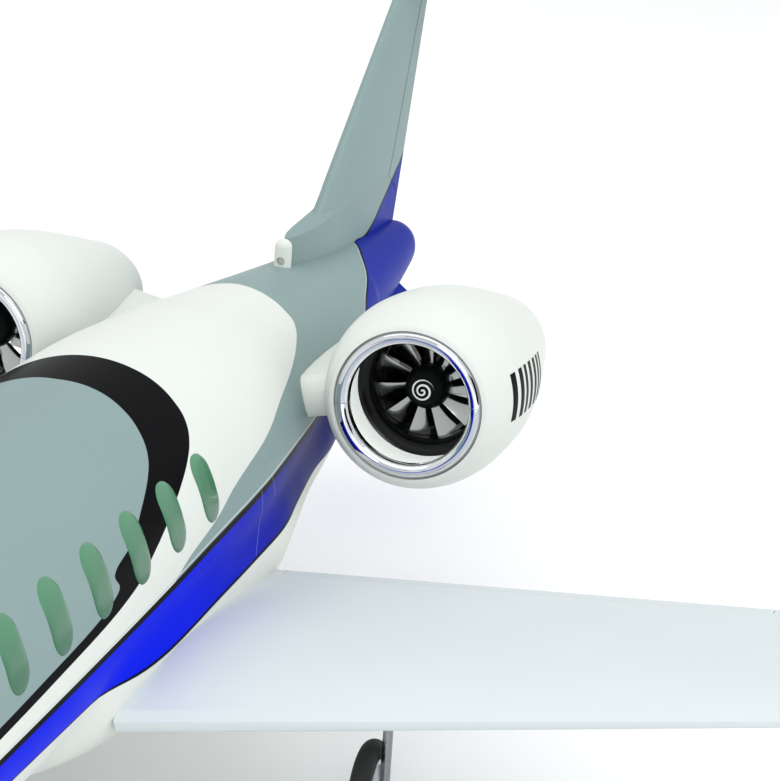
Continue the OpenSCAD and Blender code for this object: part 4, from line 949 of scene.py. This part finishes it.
def fan(side):
    """Hub, shaft and all blades of one rotor."""
    stub, back = ROTOR_FRONT - 6, ROTOR_BACK + 3
    hub = [(0, stub), (SHAFT_R, stub), (SHAFT_R, ROTOR_FRONT), (HUB_R - HUB_EDGE, ROTOR_FRONT),
           (HUB_R, ROTOR_FRONT + HUB_EDGE), (HUB_R, back), (SHAFT_R, back), (SHAFT_R, SHAFT_END),
           (0, SHAFT_END)]
    parts = [turned(side, hub, ROTOR_STEPS)]
    shares = [k / (BLADE_SECTIONS - 1) for k in range(BLADE_SECTIONS)]
    for i in range(BLADES):
        turn = i * TAU / BLADES + BLADE_TURN
        parts.append(lofted([blade_ring(t, turn, side) for t in shares]))
    return joined(parts)


def spinner_outline():
    rows = [(0, SPINNER_BASE)]
    for k in range(SPINNER_STEPS + 1):
        a = math.pi / 2 * k / SPINNER_STEPS
        rows.append((HUB_R * math.cos(a), SPINNER_BASE - SPINNER_LEN * math.sin(a)))
    return rows


SPIRAL, sh, given, result = group("painted_spiral", [("Axis", "Float", 0.0)], [("Mask", "Float")])
x, _, z = sh.measured(AXIS_Z + NACELLE_Z)
x = sh.less(x, given["Axis"])
reach = sh.math("SQRT", sh.math("ADD", sh.times(x, x), sh.times(z, z)))
turn = sh.math("DIVIDE", sh.math("ARCTAN2", z, x), TAU)
ahead = sh.math("FRACT", sh.math("ADD", sh.math("DIVIDE", reach, SPIRAL_PITCH), turn))
off_line = sh.times(sh.less(ahead, 0.5), SPIRAL_PITCH)
inside = sh.step(sh.less(SPIRAL_R, reach), 0.2)
sh.tree.links.new(sh.times(sh.near(off_line, STROKE_HALF, STROKE_SOFT), inside), result["Mask"])


def spiral_paint(axis):
    def colour(tree):
        effect = tree.add("Group", node_tree=SPIRAL)
        effect.inputs["Axis"].default_value = axis
        return tree.mix(effect.outputs["Mask"], linear(7, 8, 10), WHITE)
    return colour


for side, label in SIDES:
    rotor = piece(f"rotor_{label}", *fan(side), f"fan_{label}", fan_nylon,
                  [f"fan_rotor_{label}"], math.radians(50))
    paint = material(f"spinner_paint_{label}", spiral_paint(side * NACELLE_X), 0.3, 0.1, 0.1, 0.08,
                     1400.0, Specular_IOR_Level=0.06)
    shape = turned(side, spinner_outline(), ROTOR_STEPS)
    cone = piece(f"cone_{label}", *shape, f"fan_{label}", paint, [f"spinner_{label}"])
print("blades per fan:", BLADES)

# %% [markdown]
# ## Marks on the cowls
#
# The outboard side of each cowl carries a row of plain black bars where the real model has its
# registration. Each bar is a thin patch of film that follows the cowl's own outline.

# %% Bars on the cowls
BARS = [(30, 39), (46, 54), (60, 67), (74, 82), (89, 97), (104, 112), (119, 127)]
BAR_LOW, BAR_HIGH = math.radians(-9), math.radians(20)
BAR_ROWS, BAR_CUTS = 12, 4
FILM_T = 0.12
cowl_by_distance = [Vector((d, r)) for r, d in cowl_line]


def cowl_radius(d):
    return look_up(cowl_by_distance, d)[1]


def bar(side, start, end):
    """Closed patch over the cowl between two distances."""
    cuts = [start + (end - start) * j / BAR_CUTS for j in range(BAR_CUTS + 1)]
    line = [(cowl_radius(d) + FILM_T, d) for d in cuts]
    line += [(cowl_radius(d) - FILM_T, d) for d in cuts[::-1]]
    rings = []
    for k in range(BAR_ROWS + 1):
        a = BAR_LOW + (BAR_HIGH - BAR_LOW) * k / BAR_ROWS
        c, n = side * math.cos(a), math.sin(a)
        rings.append([at_nacelle(side, r * c, d, r * n + cowl_middle(d)) for r, d in line])
    return lofted(rings)


black_film = material("black_film", BLACK, 0.3, **FILM)
for side, label in SIDES:
    row = joined(bar(side, start, end) for start, end in BARS)
    piece(f"cowl_bars_{label}", *row, "airframe", black_film)
print("bars per cowl:", len(BARS))

# %% [markdown]
# ## Surfaces that keep their shape
#
# Wings, tail and pylons were lofted in the engineering model with fine enough sections. Their
# welded copies only need the film. The rest of the nodes stay as they are, and get their
# materials.

# %% Finished copies and repainted nodes
COPIES = {
    "nose_shell": fuselage_film, "hatch": fuselage_film, "fin": fin_film, "rudder": fin_film,
    "tailplane": white_film, "elevator_left": white_film, "elevator_right": white_film,
    "delta_fin_left": blue_film, "delta_fin_right": blue_film, "dorsal_scoop": white_film}
for _, label in SIDES:
    COPIES.update({
        f"wing_{label}": wing_film, f"winglet_{label}": white_film, f"flap_{label}": wing_film,
        f"aileron_{label}": wing_film, f"pylon_{label}": white_film,
        f"fan_shroud_{label}": shroud_nylon, f"tailpipe_{label}": white_film})
for node, paint in COPIES.items():
    refined(node, paint)

PAINTS = {
    "cockpit_glass": window_film, "belly_screws": steel, "elevator_joiner": steel,
    "wing_joiners": carbon, "equipment_tray": plywood, "battery": wrap,
    "speed_controllers": black_plastic, "receiver": black_plastic, "servos": black_plastic,
    "retract_units": aluminium, "nose_trunnion": aluminium, "nose_fork": aluminium,
    "nose_hub": aluminium, "nose_tyre": rubber}
for _, label in SIDES:
    PAINTS.update({
        f"fan_motor_{label}": aluminium, f"main_leg_{label}": steel,
        f"main_hub_{label}": aluminium, f"main_tyre_{label}": rubber})


def repaint(shape, paint):
    """All the material slots of a node take one material."""
    if not shape.material_slots:
        shape.data.materials.append(paint)
    for slot in shape.material_slots:
        slot.link = "OBJECT"
        slot.material = paint


for node, paint in PAINTS.items():
    repaint(nodes[node], paint)
print("copies:", len(COPIES), "repainted:", len(PAINTS))

# %% [markdown]
# ## Floor and light
#
# The photograph is high key: a white ground without an edge, and big soft lights. The floor is a
# pale sheet that falls away a little to both sides. A large lamp overhead gives the long
# highlights on the film, and two smaller ones fill in from ahead and from port. The chrome
# mirrors the white surroundings, and two black cards that only mirrors see give it something dark
# to show.

# %% Floor and light
FLOOR_LINES = (-30, -3, 3, 30)
FLOOR_DROP, FLOOR_FALL = 0.001, 0.0005


def paper_colour(tree):
    return tree.mix(tree.noise(tree.spot(), 3.0), linear(250, 250, 250), linear(253, 253, 253))


def backdrop(name, rows, paint):
    """An open sheet through rows of points for the studio, attached to no body of the model."""
    mesh = bpy.data.meshes.new(name)
    verts, faces = lofted(rows, closed=False, capped=False)
    mesh.from_pydata(verts, [], faces)
    mesh.materials.append(paint)
    shape = bpy.data.objects.new(name, mesh)
    bpy.context.scene.collection.objects.link(shape)
    return shape


paper = material("paper", paper_colour, 0.7, 0.02, 0.0, 0.05, 300.0)
backdrop("floor", [[Vector((x, y, -FLOOR_DROP - FLOOR_FALL * abs(x))) for x in FLOOR_LINES]
                   for y in FLOOR_LINES], paper)


def lamp(name, where, target, size, power):
    """Square lamp of a width in metres, turned towards a target."""
    data = bpy.data.lights.new(name, "AREA")
    data.shape = "RECTANGLE"
    data.size = data.size_y = size
    data.energy = power
    shape = bpy.data.objects.new(name, data)
    shape.location = where
    shape.rotation_euler = (Vector(target) - Vector(where)).to_track_quat("-Z", "Y").to_euler()
    bpy.context.scene.collection.objects.link(shape)


def card(name, corner, across, up):
    """Black studio card that only mirrors see."""
    corner, across, up = Vector(corner), Vector(across), Vector(up)
    shares = (0, 0.5, 1)
    shape = backdrop(name, [[corner + across * i + up * k for i in shares] for k in shares], felt)
    shape.visible_camera = shape.visible_diffuse = shape.visible_shadow = False


felt = material("black_felt", linear(5, 5, 6), 0.9, 0.2, 0.1, 0.3, 200.0, Specular_IOR_Level=0.0)
card("card_port", (1.5, -1.2, 0.02), (0.5, 0.9, 0.0), (0.0, 0.0, 0.95))
card("card_high", (-0.9, -2.6, 1.5), (1.3, -0.2, 0.0), (0.0, 0.0, 0.35))

middle = (0.05, 0.25, 0.2)
lamp("softbox", (0.0, 0.4, 3.0), (0.0, 0.4, 0.0), 5.0, 45)
lamp("front", (0.75, -2.3, 1.0), middle, 0.9, 18)
lamp("side", (3.2, 1.2, 1.6), middle, 1.6, 14)

world = bpy.data.worlds.new("studio")
bpy.context.scene.world = world
world.use_nodes = True
sky = Tree(world.node_tree)
glow = sky.add("Background", {"Color": (0.97, 0.985, 1.0, 1.0), "Strength": 0.9})
world.node_tree.links.new(glow.outputs[0], sky.add("OutputWorld").inputs[0])
bpy.context.scene.view_settings.view_transform = "Standard"
